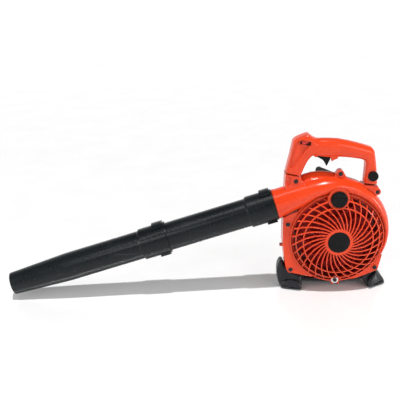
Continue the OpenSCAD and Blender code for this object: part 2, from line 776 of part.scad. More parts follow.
module handle_half(side) {
  rings = [for (s = handle_stations) handle_ring(s, side)];
  caps = [for (i = [1 : half_ring - 1]) [0, i, i + 1]];
  difference() {
    union() {
      at_axis() loft(side < 0 ? [for (ring = rings) reversed(ring)] : rings, caps);
      // Lugs on both sides of the trigger
      at_axis() y_plate(side < 0 ? -12 : 0.1, side < 0 ? -0.1 : 12) {
        polygon([[-58.4, 198], [-56.6, 192.6], [-53.4, 190], [-49.5, 189.4], [-44, 194], [-48, 202]]);
        polygon([[-22, 192], [-18.8, 182], [-16.6, 179], [-11, 182.4], [-4, 185], [-2, 192]]);
      }
      // Boss that carries the rear mount and its cap
      if (side < 0) at_axis()
        y_bar(-handle_t / 2 - 3, -0.1, mount_cap_r + 3.2, rear_mount_place[0], rear_mount_place[1]);
    }
    at_axis() {
      // Slot of the trigger, bore of its pin
      y_plate(-trigger_t / 2 - 0.5, trigger_t / 2 + 0.5)
        polygon([[-62, 180], [-57, 189], [-57, 206], [-13, 206], [-13, 186], [-14, 176], [-30, 160]]);
      // The sides are cut away beside the trigger.
      y_plate(-40, 40) polygon([[-49.5, 174], [-48.4, 193.6], [-18.6, 186.8], [-16.4, 174]]);
      y_bar(-12.6, 12.6, trigger_pin_r + running_gap, trigger_pivot[0], trigger_pivot[1]);
      // Pocket of the stop switch, on the front
      translate([switch_place[0], -handle_t / 2 - 1, switch_place[1]]) rotate([0, -switch_tilt, 0])
        translate([-12.5, 0, -4.6]) cube([25, 7.5, 9.2]);
      // Pocket of the rear mount
      if (side < 0) y_bar(-handle_t / 2 - 4, -handle_t / 2, mount_cap_r + seat_gap,
        rear_mount_place[0], rear_mount_place[1]);
      for (p = handle_screw_points) if (side > 0) {
        y_bar(handle_t / 2 - 4, 30, 4.2, p[0], p[1]);
        y_bar(-1, 30, 1.8, p[0], p[1]);
      } else y_bar(-9, 1, 1.8, p[0], p[1]);
      y_plate(-40, 40) polygon([[-125, 140], [-125, post_gap_y + 4.4], [-80, post_gap_y - 4.8 + 2.2], [-80, 130]]);
    }
    front_mount_bolt(0.02);
    rear_mount_bolt(0.02);
  }
}

handle_screw_points = [[-96, 180], [-84, 218], [-4, 206], [48, 196], [70, 176]];

module handle_front_half() {
  color(orange) handle_half(-1);
}

module handle_back_half() {
  color(orange) handle_half(1);
}

module handle_screws() {
  color(black) at_axis() for (p = handle_screw_points) {
    y_bar(handle_t / 2 - 4, handle_t / 2 - 1, 3.9, p[0], p[1]);
    y_bar(-8, handle_t / 2 - 3.9, 1.75, p[0], p[1]);
  }
}

// Rubber mounts: a disc in each gap, with a stud on each side
module front_mount_place() {
  at_axis() translate([-99.8, 0, post_gap_y]) rotate([0, 12.3, 0]) children();
}

module front_mount_bolt(gap) {
  front_mount_place() translate([0, 0, -9]) cylinder(r = 4 + gap, h = 18);
}

module front_mount() {
  color(black) front_mount_place() difference() {
    union() {
      translate([0, 0, -0.75]) cylinder(r = 12, h = 1.5);
      translate([0, 0, -8.9]) cylinder(r = 4, h = 17.8);
    }
    translate([0, 0, -20]) cylinder(r = 1.2, h = 40);
  }
}

rear_gap_z = 123;

module rear_mount_place() {
  at_axis() translate([71.6, 0, rear_gap_z]) rotate([0, 6, 0]) children();
}

module rear_mount_bolt(gap) {
  rear_mount_place() translate([0, 0, -9]) cylinder(r = 4 + gap, h = 18);
}

module rear_mount() {
  color(black) rear_mount_place() difference() {
    union() {
      translate([0, 0, -0.75]) cylinder(r = 11, h = 1.5);
      translate([0, 0, -8.9]) cylinder(r = 4, h = 17.8);
    }
    translate([0, 0, -20]) cylinder(r = 1.2, h = 40);
  }
}

module rear_mount_cap() {
  color(black) at_axis() {
    y_bar(-handle_t / 2 - 4.6, -handle_t / 2, mount_cap_r, rear_mount_place[0], rear_mount_place[1]);
    y_bar(-handle_t / 2 - 6, -handle_t / 2 - 4.5, mount_cap_r - 1.5, rear_mount_place[0], rear_mount_place[1]);
  }
}

module throttle_trigger() {
  color(black) at_axis() difference() {
    y_plate(-trigger_t / 2, trigger_t / 2) union() {
      polygon([
        [-50, 189.8], [-44.5, 186.4], [-36, 181.4], [-30.8, 174.6], [-27.8, 168], [-26, 168], [-22.6, 176],
        [-18.4, 184.5], [-18.4, 196], [-47, 199]
      ]);
      translate(trigger_pivot) circle(4.4);
    }
    y_bar(-30, 30, trigger_pin_r + running_gap, trigger_pivot[0], trigger_pivot[1]);
  }
}

module trigger_pin() {
  color(silver) at_axis() y_bar(-12, 12, trigger_pin_r, trigger_pivot[0], trigger_pivot[1]);
}

module stop_switch() {
  color("red") at_axis() translate([switch_place[0], -handle_t / 2 - 0.6, switch_place[1]])
    rotate([0, -switch_tilt, 0]) {
      translate([-11.8, 3.4, -4.2]) cube([15, 3.2, 8.4]);
      translate([-9, 0, -3]) cube([8, 3.6, 6]);
    }
}

// ---- fan and crankshaft --------------------------------------------------------------------

fan_back = 13.5;
fan_front = -13;
hub_r = 17;

// A blade leans back against the turn, from the eye to the rim.
function blade_point(r, side) =
  let (a = -34 * pow((r - 36) / (fan_r - 36), 1.1) + side * blade_t / 2 / r * 180 / PI)
    [r * cos(a), r * sin(a)];

module blade_outline() {
  radii = [for (i = [0 : 4]) 36 + (fan_r - 1 - 36) * i / 4];
  polygon(concat([for (r = radii) blade_point(r, 1)], [for (r = reversed(radii)) blade_point(r, -1)]));
}

module impeller() {
  color(black) at_axis() difference() {
    union() {
      y_bar(fan_back - 2.2, fan_back, fan_r);
      y_bar(-10, fan_back, hub_r);
      rotate([90, 0, 0]) rotate_extrude()
        polygon([[shaft_r - 1, -fan_back], [40, -fan_back + 2], [26, -fan_back + 7], [hub_r - 1, 8], [shaft_r - 1, 8]]);
      intersection() {
        y_plate(fan_front, fan_back - 1)
          for (i = [0 : blade_count - 1]) rotate(i * 360 / blade_count) blade_outline();
        rotate([90, 0, 0]) rotate_extrude()
          polygon([[0, -20], [fan_r, -20], [fan_r, 7], [52, -fan_front], [0, -fan_front]]);
      }
    }
    y_bar(-40, 40, shaft_r);
  }
}

module impeller_nut() {
  color(silver) at_axis() difference() {
    rotate([0, 15, 0]) translate([0, -11, 0]) rotate([90, 0, 0]) cylinder(r = 8.5, h = 7, $fn = 6);
    y_bar(-40, 40, shaft_r - 2);
  }
  color(silver) at_axis() difference() {
    y_bar(-11, -10, 9.5);
    y_bar(-40, 40, shaft_r - 2);
  }
}

shaft_back = 101;

module crankshaft() {
  color(silver) at_axis() {
    y_bar(-10, shaft_back, shaft_r);
    y_bar(-21, -9.9, shaft_r - 2);
  }
}

// Crankcase faces along the shaft
case_front = engine_ring_y + 4;
case_back = 92;
bearing_r = 13;
bearing_w = 8;

module bearing(y0) {
  color(silver) at_axis() difference() {
    y_bar(y0, y0 + bearing_w, bearing_r);
    y_bar(y0 - 1, y0 + bearing_w + 1, shaft_r + running_gap);
    for (s = [-1, 1]) translate([0, s < 0 ? y0 + 0.8 : y0 + bearing_w + 1, 0]) rotate([90, 0, 0])
      rotate_extrude() translate([8.4, 0]) square([2.4, 1.8]);
  }
}

module front_bearing() {
  bearing(case_front + 1);
}

module rear_bearing() {
  bearing(case_back - 1 - bearing_w);
}

module flywheel() {
  color(silver) at_axis() difference() {
    union() {
      y_bar(24, 30, flywheel_r);
      y_bar(24, 44, 16);
      difference() {
        y_bar(24, 41, flywheel_r);
        y_bar(29, 42, flywheel_r - 9);
      }
    }
    y_bar(10, 60, shaft_r);
    for (i = [0 : 5]) rotate([0, i * 60, 0]) y_bar(10, 60, 5, 25, 0);
  }
}

module ignition_coil() {
  color(black) at_axis() difference() {
    union() {
      translate([-11, 25, flywheel_r + 9]) cube([22, 16, 17]);
      for (s = [-1, 1]) translate([s * 17 - 5, 28, flywheel_r + 0.6]) cube([10, 10, 16]);
      translate([-22, 28, flywheel_r + 12.5]) cube([44, 10, 8]);
      translate([8, 33, flywheel_r + 22]) cylinder(r = 4, h = 10);
    }
    y_bar(10, 60, flywheel_r + 0.5);
  }
}

// ---- engine --------------------------------------------------------------------------------

block_y = (case_front + case_back) / 2;
block_half_y = 20;
block_top = 96;
first_fin = 45.4;

module crankcase() {
  color(silver) at_axis() difference() {
    union() {
      y_bar(engine_ring_y, case_front, engine_ring_r);
      y_bar(engine_ring_y + 1, case_back, 36);
      y_bar(case_back - 4, case_back, starter_r);
      translate([-24, case_front - 1, 0]) cube([48, case_back - case_front, 40]);
      // Lugs that carry the ignition coil
      for (s = [-1, 1]) y_bar(38, case_front - 1, 3.4, s * 17, flywheel_r + 16.5 - 3);
    }
    y_bar(10, 120, 10);
    y_bar(10, case_front + 1 + bearing_w, bearing_r);
    y_bar(case_back - 1 - bearing_w, 120, bearing_r);
    for (a = engine_screw_angles) rotate([0, -a, 0]) y_bar(10, 60, 2.2, engine_ring_r - 6, 0);
  }
}

engine_screw_angles = [20, 160, 215, 325];

module engine_screws() {
  color(silver) at_axis() for (a = engine_screw_angles) rotate([0, -a, 0]) {
    y_bar(case_front, case_front + 3, 4, engine_ring_r - 6, 0);
    y_bar(engine_ring_y - 4, case_front + 0.1, 2.1, engine_ring_r - 6, 0);
  }
}

module cylinder_block() {
  fin_step = (block_top - first_fin) / (fin_count - 1);
  color(silver) at_axis() {
    translate([-19, block_y - 17, 40]) cube([38, 34, 60]);
    for (i = [0 : fin_count - 1]) translate([0, 0, first_fin + i * fin_step]) linear_extrude(2)
      round_rect([-fin_half_w, block_y - block_half_y], [fin_half_w, block_y + block_half_y], 6);
    translate([19, block_y - 13, 58]) cube([15, 26, 26]);
    translate([-34, block_y - 13, 58]) cube([15, 26, 26]);
    plug_place() translate([0, 0, -8]) cylinder(r = 9, h = 8);
  }
}

plug_tilt = 28;

module plug_place() {
  translate([-14, block_y, 103]) rotate([0, -plug_tilt, 0]) children();
}

module spark_plug() {
  color("white") at_axis() plug_place() {
    cylinder(r = 8, h = 4);
    translate([0, 0, 4]) cylinder(r = 7.6, h = 7, $fn = 6);
    translate([0, 0, 11]) cylinder(r = 5, h = 10);
    translate([0, 0, 21]) cylinder(r = 2.4, h = 7);
  }
}

cap_centre = 33;
cap_tail_slope = 18;

module spark_plug_cap() {
  color(black) at_axis() plug_place() difference() {
    union() {
      translate([0, 0, 12]) cylinder(r = 8, h = cap_centre - 12);
      translate([0, 0, cap_centre]) sphere(r = 8);
      translate([0, 0, cap_centre]) rotate([0, 90 + plug_tilt + cap_tail_slope, 0])
        cylinder(r1 = 7.6, r2 = 4.6, h = 30);
    }
    translate([0, 0, 10]) cylinder(r = 5 + running_gap, h = 12);
    translate([0, 0, 20]) cylinder(r = 2.4 + running_gap, h = 9);
  }
}

// The lead runs from the coil up to the cap. Its ends are straight and meet them face to face.
lead_r = 3.4;
lead_points = [
  [8, 33, 206.3], [8, 33, 213], [8.6, 35, 222], [12, 41, 231.5], [17.5, 48.5, 239.5], [22, 57, 244],
  [21.6, 65.4, 246], [14.8, 70.4, 247.8], [7.1, 71, 250.24], [-0.67, 71, 252.77]
];

module ignition_lead() {
  n = 8;
  dense = [
    for (i = [0 : len(lead_points) - 2], k = [0 : 1]) lead_points[i] * (1 - k / 2) + lead_points[i + 1] * k / 2,
    lead_points[len(lead_points) - 1]
  ];
  smooth = [
    for (i = [0 : len(dense) - 1])
      i < 2 || i > len(dense) - 3 ? dense[i] : dense[i - 1] / 4 + dense[i] / 2 + dense[i + 1] / 4
  ];
  last = len(smooth) - 1;
  rings = [
    for (i = [0 : last])
      let (
        dir = smooth[min(i + 1, last)] - smooth[max(i - 1, 0)],
        t = dir / norm(dir),
        side_raw = cross(t, [0.3, 1, 0.1]),
        u = side_raw / norm(side_raw),
        v = cross(t, u)
      )
      [for (k = [0 : n - 1]) smooth[i] + lead_r * (u * cos(360 * k / n) + v * sin(360 * k / n))]
  ];
  caps = [for (i = [1 : n - 2]) [0, i, i + 1]];
  color(black) loft([for (r = rings) reversed(r)], caps);
}

module exhaust_gasket() {
  color(dark_grey) at_axis() difference() {
    translate([34, block_y - 13, 57]) cube([1, 26, 28]);
    x_bar(30, 40, 7, block_y, 71);
  }
}

module muffler() {
  color(silver) at_axis() {
    x_plate(35, 78) round_rect([block_y - 20, 36], [block_y + 19, 84], 9);
    x_bar(77, 81.2, 12, block_y, 60);
    translate([50, block_y + 12, 44]) rotate([-90, 0, 0]) cylinder(r = 5, h = 12);
  }
}

module muffler_guard() {
  color(black) at_axis() difference() {
    x_plate(41, 85) round_rect([block_y - 20, 33], [block_y + 22.6, 87.4], 9);
    x_plate(30, 81.5) round_rect([block_y - 40, 34.8], [block_y + 20.4, 85.6], 8);
    translate([30, block_y - 41, 42]) cube([51.5, 24, 36]);
    translate([40, block_y + 10, 36]) cube([20, 20, 16]);
    for (k = [0 : 4]) translate([70, block_y - 16, 42 + 8.4 * k]) cube([30, 32, 3.6]);
    for (k = [0 : 3]) translate([44 + 9 * k, block_y - 16, 70]) cube([4, 32, 30]);
  }
}

module carburettor_spacer() {
  color(black) at_axis() difference() {
    translate([-44, block_y - 12, 58.5]) cube([10, 24, 25]);
    x_bar(-50, -30, 6.5, block_y, 71);
  }
}

module carburettor() {
  color(silver) at_axis() difference() {
    union() {
      translate([-65, block_y - 14, 56]) cube([21, 28, 28]);
      translate([-63, block_y - 16, 60]) cube([17, 32, 20]);
      translate([-54.5, block_y, 50]) cylinder(r = 8, h = 38);
    }
    x_bar(-70, -40, 6.5, block_y, 71);
    y_bar(block_y + 11, block_y + 20, 6.5 + seat_gap, primer_x, primer_z);
  }
}

module air_cleaner_base() {
  color(black) at_axis() difference() {
    x_plate(-69, -65) round_rect([block_y - 26, 38], [block_y + 24, 92], 8);
    x_bar(-80, -60, 6.5, block_y, 71);
  }
}

module air_filter() {
  color("white") at_axis() difference() {
    x_plate(-79, -69) round_rect([block_y - 22, 42], [block_y + 20, 88], 6);
    x_bar(-80, -60, 4, block_y - 1, 50);
  }
}

module air_cleaner_cover() {
  color(black) at_axis() difference() {
    x_plate(-84, -67.5) round_rect([block_y - 29, 35], [block_y + 27, 95], 10);
    x_plate(-81.5, -67) round_rect([block_y - 26.3, 37.7], [block_y + 24.3, 92.3], 8.3);
    for (k = [0 : 4]) translate([-90, block_y - 14, 60 + 6 * k]) cube([30, 26, 2.4]);
    x_bar(-90, -60, 3.4, block_y - 1, 50);
  }
}

module air_cleaner_knob() {
  color(black) at_axis() {
    x_bar(-92, -84.3, 8, block_y - 1, 50);
    x_bar(-85, -69, 3.1, block_y - 1, 50);
  }
}

choke_y = 92.4;
choke_z = 76;

module choke_lever() {
  color(black) at_axis() {
    x_bar(-64.7, -61.7, 5, choke_y, choke_z);
    translate([-64.7, choke_y, choke_z - 3]) cube([3, 24, 6]);
    translate([-64.7, choke_y + 18, choke_z - 4]) cube([10, 6, 8]);
  }
}

primer_x = -54.5;
primer_z = 70;
primer_travel = 3;

module primer_bulb() {
  face = block_y + 16;
  color("#d8d4c0") at_axis() difference() {
    union() {
      translate([primer_x, face + 3, primer_z]) sphere(r = 6.5);
      y_bar(face - 1.5, face + 3, 6.5, primer_x, primer_z);
    }
    y_bar(face - 3, face + 1.5, 5, primer_x, primer_z);
    y_bar(face - 6, face - 1.5, 8, primer_x, primer_z);
  }
}

tank_front = case_front + 0.4;
tank_back = 114;
tank_top = 82;

module fuel_tank() {
  color("#e6e6df") {
    difference() {
      y_plate(tank_front, tank_back) round_rect([-tank_half_w, plate_top], [tank_half_w, tank_top], 13);
      for (p = base_screw_points) translate([p[0], p[1], plate_top - 1]) cylinder(r = 2.1, h = 8);
      at_axis() y_bar(tank_front - 1, case_back + 60, starter_r + 1.5);
    }
    y_bar(tank_back - 0.1, tank_back + 4, cap_r - 3, -38, 52);
  }
}

module fuel_cap() {
  color(black) difference() {
    union() {
      y_bar(tank_back + 0.4, tank_back + 13, cap_r, -38, 52);
      for (k = [0 : 9]) translate([-38, 0, 52]) rotate([0, 36 * k, 0])
        translate([cap_r - 1, tank_back + 1, -2]) cube([2.2, 11, 4]);
    }
    y_bar(tank_back, tank_back + 4.3, cap_r - 2.7, -38, 52);
  }
}

module cylinder_shroud() {
  back = block_y + block_half_y;
  color(orange) at_axis() difference() {
    translate([-fin_half_w - 6, case_front + seat_gap, 46])
      cube([2 * fin_half_w + 12, back + 3.6 - case_front - seat_gap, 57.5]);
    translate([-fin_half_w - 3.5, case_front, 45]) cube([2 * fin_half_w + 7, back + 1 - case_front, 56]);
    for (s = [-1, 1]) translate([s < 0 ? -50 : 20, case_front, 40]) cube([30, back - case_front - 4, 48]);
    translate([-34, block_y - 12, 90]) cube([32, 24, 30]);
    for (k = [0 : 5]) translate([-20, back - 5, 54 + 7 * k]) cube([40, 12, 3]);
  }
}

// ---- recoil starter ------------------------------------------------------------------------

starter_back = 118;
starter_wall = 3;
starter_post_y = 103;
starter_screw_r = starter_r - 5;
pulley_post_r = 5;
rope_y = 109;
grip_x = pulley_r - 4;

// Block that guides the rope out to the grip
module grip_guide() {
  translate([grip_x - 7, starter_post_y, starter_r - 16]) cube([14, 13, 18]);
}

module starter_housing() {
  color(black) at_axis() difference() {
    union() {
      y_bar(case_back, starter_back, starter_r);
      grip_guide();
    }
    // The inside, with the pulley's post, the screws' posts and the grip's guide left standing
    difference() {
      y_bar(case_back - 1, starter_back - starter_wall, starter_r - starter_wall);
      y_bar(starter_post_y, starter_back, pulley_post_r);
      for (a = starter_screw_angles) rotate([0, -a, 0])
        y_bar(case_back - 2, starter_back, 4.6, starter_screw_r, 0);
      grip_guide();
    }
    translate([grip_x, rope_y, 0]) cylinder(r = 2.6, h = 100);
    for (k = [0 : 9]) rotate([0, 36 * k, 0]) translate([16, starter_back - 5, -2]) cube([18, 10, 4]);
    for (a = starter_screw_angles) rotate([0, -a, 0]) y_bar(80, 130, 1.9, starter_screw_r, 0);
  }
}

starter_screw_angles = [35, 145, 215, 325];

module starter_screws() {
  color(silver) at_axis() for (a = starter_screw_angles) rotate([0, -a, 0]) {
    y_bar(starter_back, starter_back + 2.6, 3.6, starter_screw_r, 0);
    y_bar(case_back, starter_back + 0.1, 1.85, starter_screw_r, 0);
  }
}

module starter_pulley() {
  color("#c9c3ae") at_axis() difference() {
    union() {
      y_bar(104, 106, pulley_r);
      y_bar(112, 114, pulley_r);
      y_bar(104, 114, pulley_r - 8);
    }
    y_bar(100, 120, pulley_post_r + running_gap);
    for (k = [0 : 2]) rotate([0, 120 * k, 0]) y_bar(100, 108, 3, 14, 0);
  }
}

module starter_cup() {
  color(silver) at_axis() difference() {
    y_bar(94, shaft_back, 20);
    y_bar(96, shaft_back + 1, 17);
    y_bar(90, 110, shaft_r);
  }
  color(silver) at_axis() difference() {
    y_bar(95, shaft_back, 10);
    y_bar(90, 110, shaft_r);
  }
}

module starter_grip() {
  color(black) at_axis() translate([grip_x, rope_y, starter_r + 2.4]) difference() {
    union() {
      translate([-20, -7, 5]) cube([40, 14, 12]);
      cylinder(r1 = 5, r2 = 8, h = 6);
      for (s = [-1, 1]) translate([s * 20, 0, 11]) rotate([90, 0, 0]) translate([0, 0, -7]) cylinder(r = 6, h = 14);
    }
    translate([0, 0, -1]) cylinder(r = 2, h = 12);
  }
}

// ---- output --------------------------------------------------------------------------------

on_stand() volute_front();
on_stand() volute_back();
on_stand() intake_ring();
on_stand() back_plate();
on_stand() housing_screws();
on_stand() intake_grille();
on_stand() grille_badge();
on_stand() grille_knob();
on_stand() grille_hinge_leaf();
on_stand() grille_hinge_pin();
on_stand() grille_washer();
on_stand() grille_screw();
on_stand() base_stand();
on_stand() base_screws();
on_stand() blower_tube();
on_stand() nozzle();
on_stand() handle_front_half();
on_stand() handle_back_half();
on_stand() handle_screws();
on_stand() front_mount();
on_stand() rear_mount();
on_stand() rear_mount_cap();
on_stand() throttle_trigger();
on_stand() trigger_pin();
on_stand() stop_switch();
on_stand() impeller();
on_stand() impeller_nut();
on_stand() crankshaft();
on_stand() front_bearing();
on_stand() rear_bearing();
on_stand() flywheel();
on_stand() ignition_coil();
on_stand() ignition_lead();
on_stand() spark_plug();
on_stand() spark_plug_cap();
on_stand() crankcase();
on_stand() cylinder_block();
on_stand() exhaust_gasket();
on_stand() muffler();
on_stand() muffler_guard();
on_stand() carburettor_spacer();
on_stand() carburettor();
on_stand() air_cleaner_base();
on_stand() air_filter();
on_stand() air_cleaner_cover();
on_stand() air_cleaner_knob();
on_stand() choke_lever();
on_stand() primer_bulb();
on_stand() fuel_tank();
on_stand() fuel_cap();
on_stand() cylinder_shroud();
on_stand() starter_housing();
on_stand() starter_pulley();
on_stand() starter_grip();
on_stand() starter_cup();
on_stand() starter_screws();
on_stand() engine_screws();
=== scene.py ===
# %% [markdown]
# # A hand-held petrol leaf blower
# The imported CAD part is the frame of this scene. The cells below add smooth skins over its
# faceted shells, small moulded details, and a procedural material for each kind of surface.
# A cell of text comes before each step: what the piece or finish is, and why it is made so.
# All lengths are in metres, in the same frame as the CAD part: the pipe blows towards -X,
# the intake grille looks towards -Y and the ground is z = 0.

# %% Load the frame
import json
import math
import bpy
import numpy as np
from mathutils import Matrix, Vector


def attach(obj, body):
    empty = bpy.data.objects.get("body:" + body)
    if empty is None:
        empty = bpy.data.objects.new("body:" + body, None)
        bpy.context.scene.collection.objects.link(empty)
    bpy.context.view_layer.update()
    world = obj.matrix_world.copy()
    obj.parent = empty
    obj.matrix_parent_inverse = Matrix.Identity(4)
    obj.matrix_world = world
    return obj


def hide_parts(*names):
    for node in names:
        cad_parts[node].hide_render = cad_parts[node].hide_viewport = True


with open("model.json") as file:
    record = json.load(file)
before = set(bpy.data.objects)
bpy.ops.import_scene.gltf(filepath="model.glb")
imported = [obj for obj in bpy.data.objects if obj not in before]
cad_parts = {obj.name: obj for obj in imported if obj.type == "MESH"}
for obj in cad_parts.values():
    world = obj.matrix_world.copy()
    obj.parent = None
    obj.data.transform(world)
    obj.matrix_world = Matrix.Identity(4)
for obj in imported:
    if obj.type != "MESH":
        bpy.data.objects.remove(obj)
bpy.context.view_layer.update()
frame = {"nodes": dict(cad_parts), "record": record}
NODES = frame["nodes"]
RECORD = frame["record"]
print("nodes:", len(NODES))

# %% [markdown]
# ## Sizes shared with the CAD part
# The housing is two shells that meet at a seam, the plane y = SPLIT_Y. A skin could be shrunk
# onto the shells' meshes, but the formulas that drew them give it free of their facets. They
# are written around the seam and the crankshaft's axis, and are moved there at the end.

# %% Shared sizes
SPLIT_Y = -0.090
AXIS_Z = 0.130
PIPE_PITCH = math.radians(16.3)
PIPE_OFFSET = 0.1143
OUTLET_R = 0.033
OUTLET_END = 0.1106
SCROLL_BASE_R = 0.106
RIM_DEPTH = 0.019
LAND_R = 0.1045
SCROLL_LEAD = math.radians(7.1)
TONGUE_A = math.radians(-200)
TANGENT_A = math.pi / 2 + PIPE_PITCH + SCROLL_LEAD

CENTRE = np.array([0, SPLIT_Y, AXIS_Z])
PIPE_DIR = np.array([-math.cos(PIPE_PITCH), 0, -math.sin(PIPE_PITCH)])
PIPE_UP = np.array([-math.sin(PIPE_PITCH), 0, math.cos(PIPE_PITCH)])
print("outlet's radius:", OUTLET_R, "m, pitch of the pipe:", round(math.degrees(PIPE_PITCH), 1), "degrees")

# %% [markdown]
# ## Camera
# The camera stands in front of the grille and a little to its left, looks down at about 20.7
# degrees and leans by almost a degree and a half. Its long lens keeps the pipe's taper true.
# Three angles give its three directions, and a matrix takes them as they are, which leaves no
# doubt about the order of the turns.

# %% Camera
FOCAL_PIXELS = 774.9
FRAME_PIXELS = 400
SENSOR_MM = 36
CAMERA_PLACE = (-0.3303, SPLIT_Y - 1.6109, 0.8340)
CAMERA_REACH = 50
yaw, pitch, roll = math.radians(0.89), math.radians(20.74), math.radians(1.42)
forward = Vector((math.sin(yaw) * math.cos(pitch), math.cos(yaw) * math.cos(pitch), -math.sin(pitch)))
level = Vector((math.cos(yaw), -math.sin(yaw), 0))
upward = level.cross(forward)
right = level * math.cos(roll) - upward * math.sin(roll)
top = level * math.sin(roll) + upward * math.cos(roll)
camera_data = bpy.data.cameras.new("camera")
camera_data.sensor_width = SENSOR_MM
camera_data.lens = FOCAL_PIXELS / FRAME_PIXELS * SENSOR_MM
camera_data.clip_end = CAMERA_REACH
camera = bpy.data.objects.new("camera", camera_data)
turn = Matrix((right, top, -forward)).transposed().to_4x4()
camera.matrix_world = Matrix.Translation(CAMERA_PLACE) @ turn
bpy.context.scene.collection.objects.link(camera)
bpy.context.scene.camera = camera
bpy.context.scene.view_settings.view_transform = "Standard"
print("camera lens", round(camera_data.lens, 2), "mm")

# %% [markdown]
# ## Light
# A pale room with one strong lamp high over the part, slightly in front of it: it draws the
# band of shadow below the pipe. Softboxes in front and at both sides light the grille and the
# ends, and a long thin strip draws the highlights along the pipe and over the outlet. A map of
# a real room could do the same, but lamps can be placed for one highlight at a time.

# %% Light
world = bpy.data.worlds.new("room")
bpy.context.scene.world = world
world.use_nodes = True
sky = world.node_tree.nodes["Background"]
sky.inputs["Color"].default_value = (1, 1, 1, 1)
KEY_POWER = 2.6
KEY_WIDTH = math.radians(2.2)
KEY_DIRECTION = Vector((0.0, 0.185, -1))


def softbox(name, place, target, size, power):
    """A rectangular area light at `place` that looks at `target`."""
    data = bpy.data.lights.new(name, "AREA")
    data.shape = "RECTANGLE"
    data.size, data.size_y = size
    data.energy = power
    lamp = bpy.data.objects.new(name, data)
    lamp.location = place
    lamp.rotation_euler = (Vector(target) - Vector(place)).to_track_quat("-Z", "Y").to_euler()
    bpy.context.scene.collection.objects.link(lamp)


key_data = bpy.data.lights.new("key", "SUN")
key_data.energy = KEY_POWER
key_data.angle = KEY_WIDTH
key = bpy.data.objects.new("key", key_data)
key.rotation_euler = KEY_DIRECTION.to_track_quat("-Z", "Y").to_euler()
bpy.context.scene.collection.objects.link(key)

softbox("front_left", (-1.3, -2.2, 1.5), (-0.2, -0.1, 0.15), (0.6, 0.6), 6)
softbox("front_right", (1.1, -2.0, 1.2), (0, -0.1, 0.15), (0.8, 0.8), 9)
softbox("side_left", (-2.2, -0.9, 0.55), (-0.2, -0.1, 0.1), (0.6, 0.5), 9)
softbox("side_right", (1.7, -0.9, 0.42), (0.0, -0.1, 0.2), (0.5, 0.6), 15)
softbox("strip_left", (-0.9, -0.7, 1.5), (-0.2, -0.1, 0.2), (0.045, 1.3), 3.6)
print("lamps:", len(bpy.data.lights))

# %% [markdown]
# ## Building blocks for the materials
# Each block is a node group that gives a mask, a value or a normal. A material mixes them
# and keeps its own shader. All of them read object coordinates, in metres. These helpers
# make the nodes and link them, so that a formula reads as one.

# %% Node helpers
def new_group(name, inputs, output, kind="NodeSocketFloat"):
    """An empty node group with float inputs (name, value) and one output, and its two ends."""
    group = bpy.data.node_groups.new(name, "ShaderNodeTree")
    for label, value in inputs:
        socket = group.interface.new_socket(name=label, in_out="INPUT", socket_type="NodeSocketFloat")
        socket.default_value = value
    group.interface.new_socket(name=output, in_out="OUTPUT", socket_type=kind)
    return group, group.nodes.new("NodeGroupInput"), group.nodes.new("NodeGroupOutput")


def math_node(tree, operation, first, second, clamp=False):
    """A math node. Each operand is a socket or a number."""
    node = tree.nodes.new("ShaderNodeMath")
    node.operation = operation
    node.use_clamp = clamp
    for index, operand in enumerate((first, second)):
        if isinstance(operand, (int, float)):
            node.inputs[index].default_value = operand
        else:
            tree.links.new(operand, node.inputs[index])
    return node.outputs[0]


def times(tree, first, second):
    """The product of two operands."""
    return math_node(tree, "MULTIPLY", first, second)


def plus(tree, first, second):
    """The sum of two operands."""
    return math_node(tree, "ADD", first, second)


def minus(tree, first, second):
    """The first operand less the second."""
    return math_node(tree, "SUBTRACT", first, second)


def scaled_coords(tree, stretch=(1, 1, 1), turn=(0, 0, 0)):
    """Object coordinates after a rotation and a stretch."""
    coords = tree.nodes.new("ShaderNodeTexCoord")
    mapping = tree.nodes.new("ShaderNodeMapping")
    mapping.inputs["Rotation"].default_value = turn
    mapping.inputs["Scale"].default_value = stretch
    tree.links.new(coords.outputs["Object"], mapping.inputs["Vector"])
    return mapping.outputs["Vector"]


def noise(tree, vector, scale, detail=4.0, rough=0.55):
    """A noise texture's factor."""
    node = tree.nodes.new("ShaderNodeTexNoise")
    node.inputs["Detail"].default_value = detail
    node.inputs["Roughness"].default_value = rough
    tree.links.new(vector, node.inputs["Vector"])
    if isinstance(scale, (int, float)):
        node.inputs["Scale"].default_value = scale
    else:
        tree.links.new(scale, node.inputs["Scale"])
    return node.outputs["Fac"]


def ramp(tree, value, low, high):
    """Maps low..high to 0..1, smoothly."""
    node = tree.nodes.new("ShaderNodeMapRange")
    node.interpolation_type = "SMOOTHSTEP"
    node.inputs["From Min"].default_value = low
    node.inputs["From Max"].default_value = high
    tree.links.new(value, node.inputs["Value"])
    return node.outputs["Result"]


def split_vector(tree, vector):
    """The X, Y and Z of a vector, as a node's outputs."""
    node = tree.nodes.new("ShaderNodeSeparateXYZ")
    tree.links.new(vector, node.inputs["Vector"])
    return node.outputs


def dot_product(tree, first, second):
    """The dot product of two vectors."""
    node = tree.nodes.new("ShaderNodeVectorMath")
    node.operation = "DOT_PRODUCT"
    tree.links.new(first, node.inputs[0])
    tree.links.new(second, node.inputs[1])
    return node.outputs["Value"]


def group_node(tree, group, **values):
    """A node that uses a group, with the given input values."""
    node = tree.nodes.new("ShaderNodeGroup")
    node.node_tree = group
    for label, value in values.items():
        node.inputs[label].default_value = value
    return node


def mix_color(tree, factor, first, second):
    """Mixes two colours. Each is a socket or an (r, g, b) tuple."""
    node = tree.nodes.new("ShaderNodeMix")
    node.data_type = "RGBA"
    tree.links.new(factor, node.inputs["Factor"])
    for socket, value in ((node.inputs["A"], first), (node.inputs["B"], second)):
        if isinstance(value, tuple):
            socket.default_value = (*value, 1)
        else:
            tree.links.new(value, socket)
    return node.outputs["Result"]


print("nodes in the room's tree before any is added:", len(world.node_tree.nodes))

